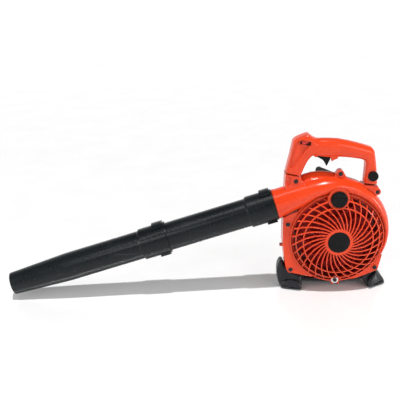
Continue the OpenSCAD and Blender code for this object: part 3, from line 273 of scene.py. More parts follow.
# %% [markdown]
# ### The room's brightness
# The wall behind the part is bright low down, as the far floor mirrors it, and fades higher
# up. The room in front is dim, so that black plastic stays black, but for a band at the
# horizon that keeps the floor pale in views from behind.

# %% Room
SKY_BEHIND, SKY_FRONT, SKY_HORIZON = 1.12, 0.09, 0.55
REAR_SPAN = (-0.25, 0.6)
HORIZON_SPAN = (0.12, 0.32)
FADE_SPANS = ((0.2, 0.4), (0.45, 0.75))
tree = world.node_tree
direction = tree.nodes.new("ShaderNodeTexCoord")
axes = split_vector(tree, direction.outputs["Generated"])
rear = ramp(tree, axes["Y"], *REAR_SPAN)
low, high = [times(tree, ramp(tree, axes["Z"], *span), 0.5) for span in FADE_SPANS]
behind = times(tree, rear, minus(tree, minus(tree, 1.0, low), high))
horizon = minus(tree, 1.0, ramp(tree, axes["Z"], *HORIZON_SPAN))
before = times(tree, horizon, minus(tree, 1.0, rear))
room = plus(tree, times(tree, behind, SKY_BEHIND - SKY_FRONT), SKY_FRONT)
tree.links.new(plus(tree, room, times(tree, before, SKY_HORIZON)), sky.inputs["Strength"])
print("room: strength", SKY_FRONT, "in front and", SKY_BEHIND, "behind")

# %% [markdown]
# ### Worn edges
# Hands and ground polish the edges first. A bevelled normal leaves the true normal near an
# edge, and how far it leaves it, broken up by a noise, is the mask. Painting that mask by hand
# is finer work, but this one fits every piece and stays right when a size changes.

# %% Worn edges
edge_group, gin, gout = new_group("edge_wear", [("Radius", 0.0008), ("Amount", 0.5)], "Mask")
bevel = edge_group.nodes.new("ShaderNodeBevel")
bevel.samples = 4
edge_group.links.new(gin.outputs["Radius"], bevel.inputs["Radius"])
geometry = edge_group.nodes.new("ShaderNodeNewGeometry")
same = dot_product(edge_group, bevel.outputs["Normal"], geometry.outputs["Normal"])
bent = ramp(edge_group, minus(edge_group, 1.0, same), 0.02, 0.22)
broken = ramp(edge_group, noise(edge_group, scaled_coords(edge_group), 240.0, 6.0, 0.65), 0.42, 0.62)
mask = times(edge_group, times(edge_group, bent, broken), gin.outputs["Amount"])
edge_group.links.new(mask, gout.inputs["Mask"])
print("group:", edge_group.name)

# %% [markdown]
# ### Fine scratches
# Two noises, each stretched a hundred times along one direction, give hairlines where
# they pass a high threshold. A third, broad noise says where there are any. A picture of
# scratches would need UV maps, which these pieces don't have.

# %% Fine scratches
scratch_group, gin, gout = new_group("fine_scratches", [("Amount", 0.5)], "Mask")
hairs = []
for angles, stretch in (((0.3, 0.2, 0.6), (3, 380, 380)), ((0.9, -0.5, -0.4), (420, 420, 4))):
    lines = noise(scratch_group, scaled_coords(scratch_group, stretch, angles), 1.0, 2.0)
    hairs.append(ramp(scratch_group, lines, 0.64, 0.72))
both = math_node(scratch_group, "ADD", *hairs, clamp=True)
where = ramp(scratch_group, noise(scratch_group, scaled_coords(scratch_group), 14.0, 2.0), 0.45, 0.7)
mask = times(scratch_group, times(scratch_group, both, where), gin.outputs["Amount"])
scratch_group.links.new(mask, gout.inputs["Mask"])
print("group:", scratch_group.name)

# %% [markdown]
# ### Slow variation
# No moulded or cast surface is even. A broad noise and a fine noise together move its colour
# and gloss a little. Each material sets how far.

# %% Slow variation
vary_group, gin, gout = new_group("slow_variation", [("Broad", 9.0), ("Fine", 160.0)], "Value")
coords = scaled_coords(vary_group)
broad = times(vary_group, noise(vary_group, coords, gin.outputs["Broad"]), 0.65)
fine = times(vary_group, noise(vary_group, coords, gin.outputs["Fine"]), 0.35)
vary_group.links.new(plus(vary_group, broad, fine), gout.inputs["Value"])
print("group:", vary_group.name)

# %% [markdown]
# ### Moulded surface
# The normal of a moulded face: soft at its edges, with a shallow grain on it. A bevelled
# normal rounds every edge in the shading alone, so the CAD faces needn't be cut again.

# %% Moulded surface
mould_group, gin, gout = new_group(
    "moulded_normal", [("Edge", 0.0008), ("Grain", 900.0), ("Depth", 0.00002), ("Strength", 0.3)],
    "Normal", "NodeSocketVector")
soft = mould_group.nodes.new("ShaderNodeBevel")
soft.samples = 6
mould_group.links.new(gin.outputs["Edge"], soft.inputs["Radius"])
grain = noise(mould_group, scaled_coords(mould_group), gin.outputs["Grain"], 3.0)
bump = mould_group.nodes.new("ShaderNodeBump")
mould_group.links.new(gin.outputs["Depth"], bump.inputs["Distance"])
mould_group.links.new(gin.outputs["Strength"], bump.inputs["Strength"])
mould_group.links.new(grain, bump.inputs["Height"])
mould_group.links.new(soft.outputs["Normal"], bump.inputs["Normal"])
mould_group.links.new(bump.outputs["Normal"], gout.inputs["Normal"])
print("group:", mould_group.name)

# %% [markdown]
# ### Painted shade on the shells' inner walls
# The walls that look at the crankshaft's axis lie in the shade behind the grille, and a dark red
# colour paints that shade onto them. A shell is one mesh, so a second material slot would have to
# be picked face by face. A mask finds the walls by a rule: the normal points at the axis, or the
# point lies within the intake's edge, unless the face looks out at the back.

# %% Painted shade on the inner walls
INTAKE_EDGE = 0.0985
FRONT_LAND_Y = SPLIT_Y - 0.018
TOWARDS_AXIS = -0.02
TOWARDS_BACK = 0.3
painted_shade_group, gin, gout = new_group("shell_painted_shade", [("Reach", 0.140)], "Mask")
place = split_vector(painted_shade_group, scaled_coords(painted_shade_group))
radial = painted_shade_group.nodes.new("ShaderNodeCombineXYZ")
painted_shade_group.links.new(place["X"], radial.inputs["X"])
painted_shade_group.links.new(minus(painted_shade_group, place["Z"], AXIS_Z), radial.inputs["Z"])
distance = painted_shade_group.nodes.new("ShaderNodeVectorMath")
distance.operation = "LENGTH"
painted_shade_group.links.new(radial.outputs["Vector"], distance.inputs[0])
normal = painted_shade_group.nodes.new("ShaderNodeNewGeometry").outputs["Normal"]
facing = dot_product(painted_shade_group, normal, radial.outputs["Vector"])
inward = times(painted_shade_group, math_node(painted_shade_group, "LESS_THAN", facing, TOWARDS_AXIS),
               math_node(painted_shade_group, "GREATER_THAN", place["Y"], FRONT_LAND_Y))
near = math_node(painted_shade_group, "LESS_THAN", distance.outputs["Value"], gin.outputs["Reach"])
core = math_node(painted_shade_group, "LESS_THAN", distance.outputs["Value"], INTAKE_EDGE)
normal_y = split_vector(painted_shade_group, normal)["Y"]
not_back = math_node(painted_shade_group, "LESS_THAN", normal_y, TOWARDS_BACK)
walls = math_node(painted_shade_group, "MAXIMUM", times(painted_shade_group, inward, near), core)
painted_shade_group.links.new(times(painted_shade_group, walls, not_back), gout.inputs["Mask"])
print("group:", painted_shade_group.name)

# %% [markdown]
# ## Materials
# One recipe serves all plastics and rubbers. It takes colours, gloss, grain and wear, so that
# a glossy shell, a satin pipe and a dull stand differ in all of them. The colour runs between
# two tones with the slow variation, and worn edges and hairlines take a paler, rougher one.

# %% Plastics and rubbers
TONE_SPAN = (0.3, 0.7)
MARK_ROUGHNESS = 0.25
COAT_ROUGHNESS = 0.08
GLOW_RADIUS = (0.004, 0.002, 0.001)


def plastic(name, dark, light, worn, rough=(0.2, 0.3), grain=900.0, depth=0.00002, strength=0.25,
            edge=0.0008, wear=0.4, scratch=0.3, specular=0.5, coat=0.0, glow=0.0, painted_shade=None):
    """A moulded plastic. Its colour runs from dark to light, and its worn edges are paler."""
    material = bpy.data.materials.new(name)
    material.use_nodes = True
    tree = material.node_tree
    shader = tree.nodes["Principled BSDF"]
    vary = group_node(tree, vary_group)
    edges = group_node(tree, edge_group, Radius=edge, Amount=wear)
    hairs = group_node(tree, scratch_group, Amount=scratch)
    normal = group_node(tree, mould_group, Edge=edge, Grain=grain, Depth=depth, Strength=strength)
    tone = ramp(tree, vary.outputs["Value"], *TONE_SPAN)
    marks = math_node(tree, "MAXIMUM", edges.outputs["Mask"], hairs.outputs["Mask"])
    color = mix_color(tree, marks, mix_color(tree, tone, dark, light), worn)
    # An optional dark colour paints shade where the inner-wall mask finds walls behind the grille.
    if painted_shade:
        color = mix_color(tree, group_node(tree, painted_shade_group).outputs["Mask"], color, painted_shade)
    tree.links.new(color, shader.inputs["Base Color"])
    base = plus(tree, times(tree, tone, rough[1] - rough[0]), rough[0])
    tree.links.new(plus(tree, base, times(tree, marks, MARK_ROUGHNESS)), shader.inputs["Roughness"])
    tree.links.new(normal.outputs["Normal"], shader.inputs["Normal"])
    shader.inputs["Specular IOR Level"].default_value = specular
    shader.inputs["Coat Weight"].default_value = coat
    shader.inputs["Coat Roughness"].default_value = COAT_ROUGHNESS
    if glow:
        shader.inputs["Subsurface Weight"].default_value = glow
        shader.inputs["Subsurface Radius"].default_value = GLOW_RADIUS
    return material


print("building blocks of a plastic:", [group.name for group in bpy.data.node_groups])

# %% [markdown]
# A metal shows its making in its gloss: turned steel has fine rings, a casting is patchy. So
# the metals' recipe moves the roughness more than the colour, and wears the edges bright.

# %% Metals
METAL_WEAR = 0.7
METAL_SHINE = 1.25


def metal(name, dark, light, rough=(0.3, 0.45), grain=500.0, depth=0.00003, strength=0.4, edge=0.0006,
          metallic=1.0, stretch=None):
    """A metal with a patchy gloss. With stretch, its grain is drawn out along one direction."""
    material = bpy.data.materials.new(name)
    material.use_nodes = True
    tree = material.node_tree
    shader = tree.nodes["Principled BSDF"]
    vary = group_node(tree, vary_group, Broad=40.0, Fine=420.0)
    edges = group_node(tree, edge_group, Radius=edge, Amount=METAL_WEAR)
    body = mix_color(tree, ramp(tree, vary.outputs["Value"], *TONE_SPAN), dark, light)
    bright = tuple(min(1, c * METAL_SHINE) for c in light)
    tree.links.new(mix_color(tree, edges.outputs["Mask"], body, bright), shader.inputs["Base Color"])
    patches = noise(tree, scaled_coords(tree, stretch), 1.0, 3.0) if stretch else vary.outputs["Value"]
    gloss = plus(tree, times(tree, patches, rough[1] - rough[0]), rough[0])
    tree.links.new(gloss, shader.inputs["Roughness"])
    normal = group_node(tree, mould_group, Edge=edge, Grain=grain, Depth=depth, Strength=strength)
    tree.links.new(normal.outputs["Normal"], shader.inputs["Normal"])
    shader.inputs["Metallic"].default_value = metallic
    return material


print("recipes:", plastic.__name__, metal.__name__)

# %% [markdown]
# The visible pieces have few finishes: a vivid red-orange shell, a satin blue-black pipe, a
# darker moulding for knob and trigger, a stand in dull dark grey, black screws. The engine
# behind adds cast alloy, sheet steel, rubber, foam, a milky tank and a white plug. The record
# names the slot of every CAD node, so a table from slots to materials dresses all of them.

# %% The material of each slot
MATERIALS = {
    "orange_plastic": plastic(
        "orange_shell", (0.66, 0.045, 0.009), (0.74, 0.057, 0.0115), (0.93, 0.24, 0.13),
        rough=(0.2, 0.28), grain=420.0, depth=0.00001, strength=0.12, edge=0.0011, wear=0.3,
        scratch=0.12, specular=0.3, coat=0.12, glow=0.05),
    "black_plastic": plastic(
        "black_moulding", (0.003, 0.0032, 0.0037), (0.006, 0.0064, 0.0072), (0.04, 0.04, 0.042),
        rough=(0.28, 0.4), grain=1500.0, strength=0.35, specular=0.14),
    "pipe_plastic": plastic(
        "pipe_satin", (0.0045, 0.0065, 0.0075), (0.008, 0.011, 0.0125), (0.05, 0.06, 0.065),
        rough=(0.24, 0.33), grain=700.0, scratch=0.5, specular=0.26),
    "base_plastic": plastic(
        "stand_dull", (0.006, 0.007, 0.010), (0.011, 0.0125, 0.017), (0.09, 0.09, 0.1),
        rough=(0.22, 0.4), grain=1000.0, strength=0.3, edge=0.0012, wear=0.2, scratch=0.2,
        specular=0.35),
    "white_plastic": plastic("white_moulding", (0.72, 0.72, 0.7), (0.85, 0.85, 0.83), (0.6, 0.58, 0.54)),
    "red_plastic": plastic(
        "red_moulding", (0.5, 0.008, 0.006), (0.62, 0.014, 0.01), (0.8, 0.2, 0.15), coat=0.3),
    "mount_rubber": plastic(
        "mount_rubber", (0.012, 0.012, 0.012), (0.02, 0.02, 0.02), (0.07, 0.07, 0.07),
        rough=(0.6, 0.75), specular=0.3, strength=0.5),
    "lead_rubber": plastic(
        "lead_rubber", (0.01, 0.01, 0.011), (0.017, 0.017, 0.018), (0.06, 0.06, 0.06),
        rough=(0.4, 0.5), strength=0.4),
    "bulb_rubber": plastic(
        "bulb_rubber", (0.5, 0.42, 0.25), (0.62, 0.54, 0.36), (0.8, 0.76, 0.66),
        rough=(0.18, 0.26), glow=0.4),
    "ceramic": plastic(
        "plug_ceramic", (0.78, 0.77, 0.74), (0.86, 0.85, 0.82), (0.5, 0.47, 0.42), rough=(0.1, 0.18)),
    "tank_plastic": plastic(
        "tank_milky", (0.62, 0.62, 0.57), (0.74, 0.74, 0.7), (0.5, 0.48, 0.42),
        rough=(0.35, 0.45), glow=0.5),
    "pulley_plastic": plastic(
        "pulley_nylon", (0.5, 0.46, 0.36), (0.6, 0.56, 0.46), (0.35, 0.3, 0.24), rough=(0.4, 0.5)),
    "filter_foam": plastic(
        "filter_foam", (0.45, 0.4, 0.28), (0.68, 0.63, 0.48), (0.75, 0.7, 0.56),
        rough=(0.85, 0.95), grain=1400.0, depth=0.0004, strength=1.0, specular=0.15),
    "black_screws": metal(
        "black_oxide", (0.006, 0.006, 0.007), (0.014, 0.014, 0.015), rough=(0.3, 0.45), metallic=0.3),
    "steel": metal(
        "turned_steel", (0.42, 0.42, 0.43), (0.6, 0.6, 0.61), rough=(0.22, 0.4), stretch=(30, 900, 30)),
    "cast_alloy": metal(
        "cast_alloy", (0.4, 0.4, 0.41), (0.58, 0.58, 0.59), rough=(0.45, 0.7), grain=650.0,
        depth=0.0002, strength=0.6),
    "steel_sheet": metal(
        "sheet_steel", (0.13, 0.12, 0.115), (0.26, 0.25, 0.24), rough=(0.4, 0.6), metallic=0.8),
}
print("materials:", len(MATERIALS))

# %% [markdown]
# ## Housing and fan
# The housing's shells get softer corners than the small orange pieces. What lies behind the
# grille gets painted shade: the shells' inner walls, the ring round the intake and the fan take
# darker colours that stand for the shade there, and the fan's maroon is an orange-red plastic
# darkened that way. These nodes keep their slot and only take another material, because on the
# real blower they are the same kind of plastic.

# %% Housing and fan
def shell_plastic(name, painted_shade=None):
    """The plastic of the fan housing, with an optional colour that paints shade on its inner walls."""
    return plastic(
        name, (0.70, 0.045, 0.008), (0.78, 0.058, 0.011), (0.93, 0.22, 0.10), rough=(0.18, 0.25),
        grain=420.0, depth=0.00001, strength=0.12, edge=0.0035, wear=0.1, scratch=0.1, specular=0.32,
        coat=0.15, glow=0.04, painted_shade=painted_shade)


SHELL = shell_plastic("orange_housing")
# This copy paints a dark red shade on the walls that the inner-wall mask finds.
SHELL_WITH_PAINTED_SHADE = shell_plastic("orange_housing_painted_shade", painted_shade=(0.16, 0.006, 0.007))
SPECIAL = {
    "volute_front": SHELL_WITH_PAINTED_SHADE,
    "volute_back": SHELL_WITH_PAINTED_SHADE,
    "back_plate": SHELL_WITH_PAINTED_SHADE,
    # The ring round the intake is coloured darker than the shell: painted shade behind the grille.
    "intake_ring": plastic(
        "ring_painted_shade", (0.42, 0.022, 0.009), (0.5, 0.03, 0.011), (0.7, 0.1, 0.06),
        rough=(0.3, 0.4), specular=0.2),
    # The fan's dark maroon is orange-red plastic with its shade painted into the colour.
    "impeller": plastic(
        "fan_red_painted_shade", (0.34, 0.01, 0.011), (0.46, 0.015, 0.017), (0.55, 0.03, 0.03),
        rough=(0.4, 0.55), specular=0.2),
}
NODE_SHARP_ANGLE = math.radians(24)

slot_of = {part["node"]: part["material_slot"] for part in RECORD["subparts"]}
for name, node in NODES.items():
    mesh = node.data
    mesh.materials.clear()
    mesh.materials.append(SPECIAL.get(name, MATERIALS[slot_of[name]]))
    mesh.polygons.foreach_set("use_smooth", [True] * len(mesh.polygons))
    mesh.set_sharp_from_angle(angle=NODE_SHARP_ANGLE)
print("nodes with a material of their own:", len(SPECIAL))

# %% [markdown]
# ## Floor
# A pale, faintly glossy sheet. It takes a soft shadow and a weak, blurred reflection. It is
# a stage piece, so it isn't part of the model, and one plastic of the recipe above is enough.

# %% Floor
floor_mesh = bpy.data.meshes.new("floor")
floor_mesh.from_pydata([(-20, -20, 0), (20, -20, 0), (20, 30, 0), (-20, 30, 0)], [], [(0, 1, 2, 3)])
floor_mesh.materials.append(plastic(
    "studio_floor", (0.88, 0.88, 0.88), (0.92, 0.92, 0.92), (0.9, 0.9, 0.9), rough=(0.15, 0.2),
    grain=60.0, depth=0.00001, strength=0.05, wear=0.0, scratch=0.0, specular=1.0, coat=0.2))
floor = bpy.data.objects.new("floor", floor_mesh)
bpy.context.scene.collection.objects.link(floor)
print("floor:", [round(side) for side in floor.dimensions], "m")

# %% [markdown]
# ## Mesh tools
# A surface is a grid of points: rings, one after the other, each with as many points. The
# grid's quads come from index arithmetic on whole arrays, so a new shape needs only a formula
# for its points. Solids that cut or join others are prisms along Y.

# %% Mesh tools
def mm(rows):
    """Millimetres to metres."""
    return np.array(rows, float) / 1000


def axis_outline(rows):
    """An outline in millimetres from the crankshaft, as rows of (x, z) in the part's frame."""
    return mm(rows) + np.array([0, AXIS_Z])


def ring_faces(rings, points, closed=False):
    """Quads between consecutive rings. If closed, the last ring meets the first one."""
    j, i = np.meshgrid(np.arange(rings if closed else rings - 1), np.arange(points), indexing="ij")
    k, m = (j + 1) % rings, (i + 1) % points
    quads = [j * points + i, j * points + m, k * points + m, k * points + i]
    return np.stack(quads, -1).reshape(-1, 4)


def tube_faces(rings, points, flip=False):
    """The faces of a tube of rings with a flat cap at each end. If flip, they look inwards."""
    last = (rings - 1) * points
    caps = [list(range(points))[::-1], list(range(last, last + points))]
    faces = ring_faces(rings, points).tolist() + caps
    return [face[::-1] for face in faces] if flip else faces


def vertices(piece):
    """The points of a piece, as rows of (x, y, z)."""
    flat = np.empty(len(piece.data.vertices) * 3)
    piece.data.vertices.foreach_get("co", flat)
    return flat.reshape(-1, 3)


def solid(name, points, faces):
    """A mesh object from points and faces."""
    mesh = bpy.data.meshes.new(name)
    mesh.from_pydata(np.asarray(points, float).reshape(-1, 3).tolist(), [], faces)
    mesh.update()
    piece = bpy.data.objects.new(name, mesh)
    bpy.context.scene.collection.objects.link(piece)
    return piece


def outward(piece):
    """Turns a closed solid's faces outwards: the volume under them, summed with signs, is positive."""
    mesh = piece.data
    mesh.calc_loop_triangles()
    corners = np.empty(len(mesh.loop_triangles) * 3, np.int32)
    mesh.loop_triangles.foreach_get("vertices", corners)
    a, b, c = vertices(piece)[corners.reshape(-1, 3)].transpose(1, 0, 2)
    if np.einsum("ij,ij->i", a, np.cross(b, c)).sum() < 0:
        mesh.flip_normals()
    return piece


def prism(outline, low, high, shrink=0.0):
    """A closed prism along Y. Its outline is rows of (x, z); shrink moves the high end inwards."""
    outline = np.asarray(outline, float)
    after, before = np.roll(outline, -1, 0), np.roll(outline, 1, 0)
    if np.cross(after - outline, outline - before).sum() > 0:
        outline = outline[::-1]
    centre = outline.mean(0)
    small = centre + (outline - centre) * (1 - shrink)
    ends = [np.insert(rows, 1, y, axis=1) for rows, y in ((outline, low), (small, high))]
    return outward(solid("prism", np.concatenate(ends), tube_faces(2, len(outline), flip=True)))


def disc(centre, radius, low, high, count=48):
    """A closed round bar along Y: x = cx + r cos t, z = cz + r sin t."""
    t = np.linspace(0, 2 * math.pi, count, endpoint=False)
    outline = np.stack([centre[0] + radius * np.cos(t), centre[1] + radius * np.sin(t)], -1)
    return prism(outline, low, high)


def combined(piece, others, operation="DIFFERENCE"):
    """Cuts the other solids out of a piece, or joins them to it, and removes them."""
    for other in others:
        step = piece.modifiers.new("step", "BOOLEAN")
        step.operation = operation
        step.object = other
        step.solver = "EXACT"
    bpy.context.view_layer.update()
    mesh = bpy.data.meshes.new_from_object(piece.evaluated_get(bpy.context.evaluated_depsgraph_get()))
    piece.modifiers.clear()
    piece.data = mesh
    for other in others:
        bpy.data.objects.remove(other)
    return piece


def joined(pieces):
    """Several closed solids in one mesh."""
    points, faces, offset = [], [], 0
    for piece in pieces:
        points.append(vertices(piece))
        faces += [[offset + v for v in face.vertices] for face in piece.data.polygons]
        offset += len(points[-1])
        bpy.data.objects.remove(piece)
    return solid("joined", np.concatenate(points), faces)


def finished(piece, name, slot, body, sharp=35, material=None):
    """Gives a piece its name, shading and material, and lets it move with a body."""
    piece.name = name
    mesh = piece.data
    mesh.materials.clear()
    mesh.materials.append(material or MATERIALS[slot])
    mesh.polygons.foreach_set("use_smooth", [True] * len(mesh.polygons))
    mesh.set_sharp_from_angle(angle=math.radians(sharp))
    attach(piece, body)
    return piece


print("a ring of four quads:", ring_faces(2, 4).tolist())

# %% [markdown]
# ## The scroll's smooth skin
# The fan housing is a scroll: its radius grows from the tongue to the outlet as the 1.5th
# power of the angle turned. Its section is an arc from the split plane over a crest to the
# flat flange. The crest rises towards the outlet, and along the outlet the section turns into
# a half circle. A skin of many narrow rings shows this as one smooth surface, which the CAD
# shell's coarser steps can't. It is closed, and just thick enough to hold the CAD shell's face.

# %% Scroll skin
SKIN_OUTSIDE, SKIN_INSIDE = -0.00012, 0.0012
SECTION_STEPS = 40
CREST_LOW = RIM_DEPTH + 0.0006
SKIN_RIM = RIM_DEPTH - 0.0003
SCROLL_GROWTH = (PIPE_OFFSET + OUTLET_R) / math.cos(SCROLL_LEAD) - SCROLL_BASE_R
SCROLL_RINGS, OUTLET_RINGS = 150, 30
SCROLL_STOP = TANGENT_A - math.radians(4)


def scroll_section(angle, inset):
    """Half section at an angle, as rows of (radius, depth).

    An arc of ellipse: radius = c + (outer - c) cos t, depth = crest sin t, up to depth = rim,
    with the centre c chosen so that the arc ends at the flange's radius. The outer radius and
    the crest grow as the powers 1.5 and 1.4 of the share of the turn.
    """
    share = max(0.0, (angle + math.pi / 2) / (TANGENT_A + math.pi / 2))
    outer = SCROLL_BASE_R + SCROLL_GROWTH * share ** 1.5 - inset
    crest = CREST_LOW + (OUTLET_R - CREST_LOW) * share ** 1.4 - inset
    rim = SKIN_RIM - inset
    q = math.sqrt(1 - (rim / crest) ** 2)
    centre = (LAND_R - inset + outer * q) / (1 + q)
    t = np.linspace(0, math.pi - math.asin(rim / crest), SECTION_STEPS)
    return np.stack([centre + (outer - centre) * np.cos(t), crest * np.sin(t)], -1)


def outlet_section(inset):
    """Half circle of the outlet, in the same form: radius = offset + r cos t, depth = r sin t."""
    t = np.linspace(0, math.pi, SECTION_STEPS)
    radius = OUTLET_R - inset
    return np.stack([PIPE_OFFSET + radius * np.cos(t), radius * np.sin(t)], -1)


def skin_section(section, *place):
    """A section of the skin: along its outer face, and back along its inner face."""
    return np.concatenate([section(*place, SKIN_OUTSIDE), section(*place, SKIN_INSIDE)[::-1]])


def skin_faces(rings, flip):
    """The skin's quads, and at both of its ends the strip between outer and inner face."""
    count = 2 * SECTION_STEPS
    i = np.arange(SECTION_STEPS - 1)
    first = np.stack([i, count - 1 - i, count - 2 - i, i + 1], -1)
    final = (rings - 1) * count + np.stack([i, i + 1, count - 2 - i, count - 1 - i], -1)
    faces = np.concatenate([ring_faces(rings, count), first, final])
    return (faces[:, ::-1] if flip else faces).tolist()


def scroll_skin(name, side):
    """The scroll's sections turned around the axis, then blended along the outlet.

    Along the outlet a section is (1 - t) times the scroll's last one plus t times the half
    circle, at the distance start + (end - start) t ** 1.3 along the pipe.
    """
    rings = []
    for angle in np.linspace(TONGUE_A, SCROLL_STOP, SCROLL_RINGS):
        radius, depth = skin_section(scroll_section, angle).T
        rings.append(np.stack([radius * math.cos(angle), side * depth, radius * math.sin(angle)], -1))
    start = (PIPE_OFFSET + OUTLET_R) * math.tan(SCROLL_LEAD)
    scroll_end = skin_section(scroll_section, TANGENT_A)
    outlet_end = skin_section(outlet_section)
    for t in np.linspace(0.06, 1, OUTLET_RINGS):
        radius, depth = ((1 - t) * scroll_end + t * outlet_end).T
        along = start + (OUTLET_END - start) * t ** 1.3
        rings.append(np.outer(radius, PIPE_UP) + np.outer(side * depth, [0, 1, 0]) + along * PIPE_DIR)
    skin = solid(name, np.array(rings) + CENTRE, skin_faces(len(rings), side > 0))
    return finished(skin, name, "orange_plastic", "housing", material=SHELL)


skins = [scroll_skin("scroll_skin_front", -1), scroll_skin("scroll_skin_back", 1)]
print("scroll skins:", sum(len(skin.data.polygons) for skin in skins), "faces")

# %% [markdown]
# ## Handle
# The handle is moulded in two halves, a pipe that bends from the front mount over the grip to
# the rear mount. Each station gives the handle's outer and inner edge in x and z. A moving
# average over the stations rounds the bends without a curve tool. Each section is a
# superellipse, whose power says how boxy it is: the legs are boxier than the grip.

# %% Handle path
HANDLE_STATIONS = mm([
    [-116.6, 156.8, -82.8, 149.4], [-112.8, 174, -78.5, 162], [-108.4, 191.6, -73, 174],
    [-104.5, 211, -67, 184.5], [-101.2, 227, -61, 190.5], [-92.5, 233, -58, 193],
    [-69.4, 241.9, -56.3, 192], [-58, 233.5, -54, 190], [-49, 229, -48, 187],
    [-26.7, 228.9, -26, 186.4], [-3.1, 227.2, -3.7, 186.8], [20.7, 222.1, 15, 185.4],
    [44.7, 215.2, 36, 182.6], [62, 209.5, 50, 179.8], [71.3, 205.8, 56, 176.4],
    [76.4, 199.5, 58.4, 171], [79, 185, 58.5, 160], [81.7, 168.3, 57.8, 148],
    [84.1, 148.1, 57, 136], [86.3, 124.4, 56.6, 127.6]])
HANDLE_POWERS = [0.36] * 7 + [0.6] + [0.82] * 6 + [0.7] + [0.5] * 5
HANDLE_T = 0.035
SEAM_GAP = 0.0001


def smooth_path(stations, dense=14, window=13):
    """Stations filled in by straight lines, then averaged with a bell of weights. The ends stay."""
    spots = np.linspace(0, len(stations) - 1, dense * (len(stations) - 1) + 1)
    rows = np.stack([np.interp(spots, np.arange(len(stations)), column) for column in stations.T], -1)
    kernel = np.hanning(window + 2)[1:-1]
    kernel /= kernel.sum()
    half = window // 2
    rows = np.concatenate([2 * rows[0] - rows[half:0:-1], rows, 2 * rows[-1] - rows[-2:-half - 2:-1]])
    return np.stack([np.convolve(column, kernel, "valid") for column in rows.T], -1)


HANDLE_PATH = smooth_path(HANDLE_STATIONS)
HANDLE_ROUND = smooth_path(np.array(HANDLE_POWERS)[:, None])


def handle_skin(side, steps=44):
    """Half of the handle, closed along the seam and at both ends.

    A section is a superellipse: across = sign(cos t) |cos t| ** p, depth = |sin t| ** p.
    """
    t = np.linspace(0, math.pi, steps)
    across = np.sign(np.cos(t)) * np.abs(np.cos(t)) ** HANDLE_ROUND
    depth = np.abs(np.sin(t)) ** HANDLE_ROUND * (HANDLE_T / 2 - SEAM_GAP) + SEAM_GAP
    outer, inner = HANDLE_PATH[:, None, :2], HANDLE_PATH[:, None, 2:]
    flat = (outer + inner) / 2 + (outer - inner) / 2 * across[..., None]
    points = np.stack([flat[..., 0], SPLIT_Y + side * depth, flat[..., 1] + AXIS_Z], -1)
    return solid("handle", points, tube_faces(len(points), steps, flip=side > 0))


print("handle rings:", len(HANDLE_PATH))

# %% [markdown]
# The halves get the slot of the trigger, the window of the stop switch and the screws'
# recesses. A panel sinks into the front leg, as its mould has it, and lugs hold the trigger's
# pin. Booleans cut them, because their edges have to stay crisp on a curved grip.

# %% Handle halves
FRONT_Y, BACK_Y = SPLIT_Y - HANDLE_T / 2, SPLIT_Y + HANDLE_T / 2
TRIGGER_SLOT = [[-62, 180], [-57, 189], [-57, 206], [-13, 206], [-13, 186], [-14, 176], [-30, 160]]
TRIGGER_SIDES = [[-49.5, 174], [-48.4, 193.6], [-18.6, 186.8], [-16.4, 174]]
SLOT_HALF_WIDTH, SIDES_HALF_WIDTH = 0.0075, 0.04
LUGS = ([[-58.4, 198], [-56.6, 192.6], [-53.4, 190], [-49.5, 189.4], [-44, 194], [-48, 202]],
        [[-22, 192], [-18.8, 182], [-16.6, 179], [-11, 182.4], [-4, 185], [-2, 192]])
LUG_WIDTH = 0.012
PANEL = [[-110.4, 168], [-107, 183], [-103, 199], [-98.5, 215], [-95, 227], [-90, 230.4], [-72, 224],
         [-64.5, 219.5], [-74, 208], [-83, 195.5], [-92, 182], [-99.5, 169.5], [-104, 166]]
PANEL_SPAN = (FRONT_Y - 0.004, FRONT_Y + 0.0036)
PANEL_DRAFT = 0.05
SWITCH_PLACE, SWITCH_TILT = (-74, 223.5), -11
SWITCH_WINDOW = ((-12, -4.2), (10.4, 4.2))
WINDOW_SPAN = (FRONT_Y - 0.001, FRONT_Y + 0.0065)
HANDLE_SCREWS = [[-96, 180], [-84, 218], [-4, 206], [48, 196], [70, 176]]
RECESS_R = 0.0042
RECESS_SPAN = (BACK_Y - 0.004, SPLIT_Y + 0.03)


def turned_box(place, tilt, low, high):
    """A box in x and z around a place, turned by a tilt in degrees."""
    c, s = math.cos(math.radians(tilt)), math.sin(math.radians(tilt))
    corners = np.array([[low[0], low[1]], [high[0], low[1]], [high[0], high[1]], [low[0], high[1]]])
    return axis_outline(corners @ np.array([[c, s], [-s, c]]) + np.array(place))


def handle_cutters(side):
    """The solids to cut from a half: the trigger's slot, then what only this half has."""
    cutters = [prism(axis_outline(TRIGGER_SLOT), SPLIT_Y - SLOT_HALF_WIDTH, SPLIT_Y + SLOT_HALF_WIDTH),
               prism(axis_outline(TRIGGER_SIDES), SPLIT_Y - SIDES_HALF_WIDTH, SPLIT_Y + SIDES_HALF_WIDTH)]
    if side > 0:
        return cutters + [disc(spot, RECESS_R, *RECESS_SPAN) for spot in axis_outline(HANDLE_SCREWS)]
    window = turned_box(SWITCH_PLACE, SWITCH_TILT, *SWITCH_WINDOW)
    return cutters + [prism(axis_outline(PANEL), *PANEL_SPAN, PANEL_DRAFT), prism(window, *WINDOW_SPAN)]


for side, name in ((-1, "handle_skin_front"), (1, "handle_skin_back")):
    half = handle_skin(side)
    lug_span = sorted((SPLIT_Y + side * SEAM_GAP, SPLIT_Y + side * LUG_WIDTH))
    combined(half, [prism(axis_outline(lug), *lug_span) for lug in LUGS], "UNION")
    combined(half, handle_cutters(side))
    finished(half, name, "orange_plastic", "housing", 30)
    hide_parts("handle_front_half" if side < 0 else "handle_back_half")
    print(name, len(half.data.polygons), "faces")

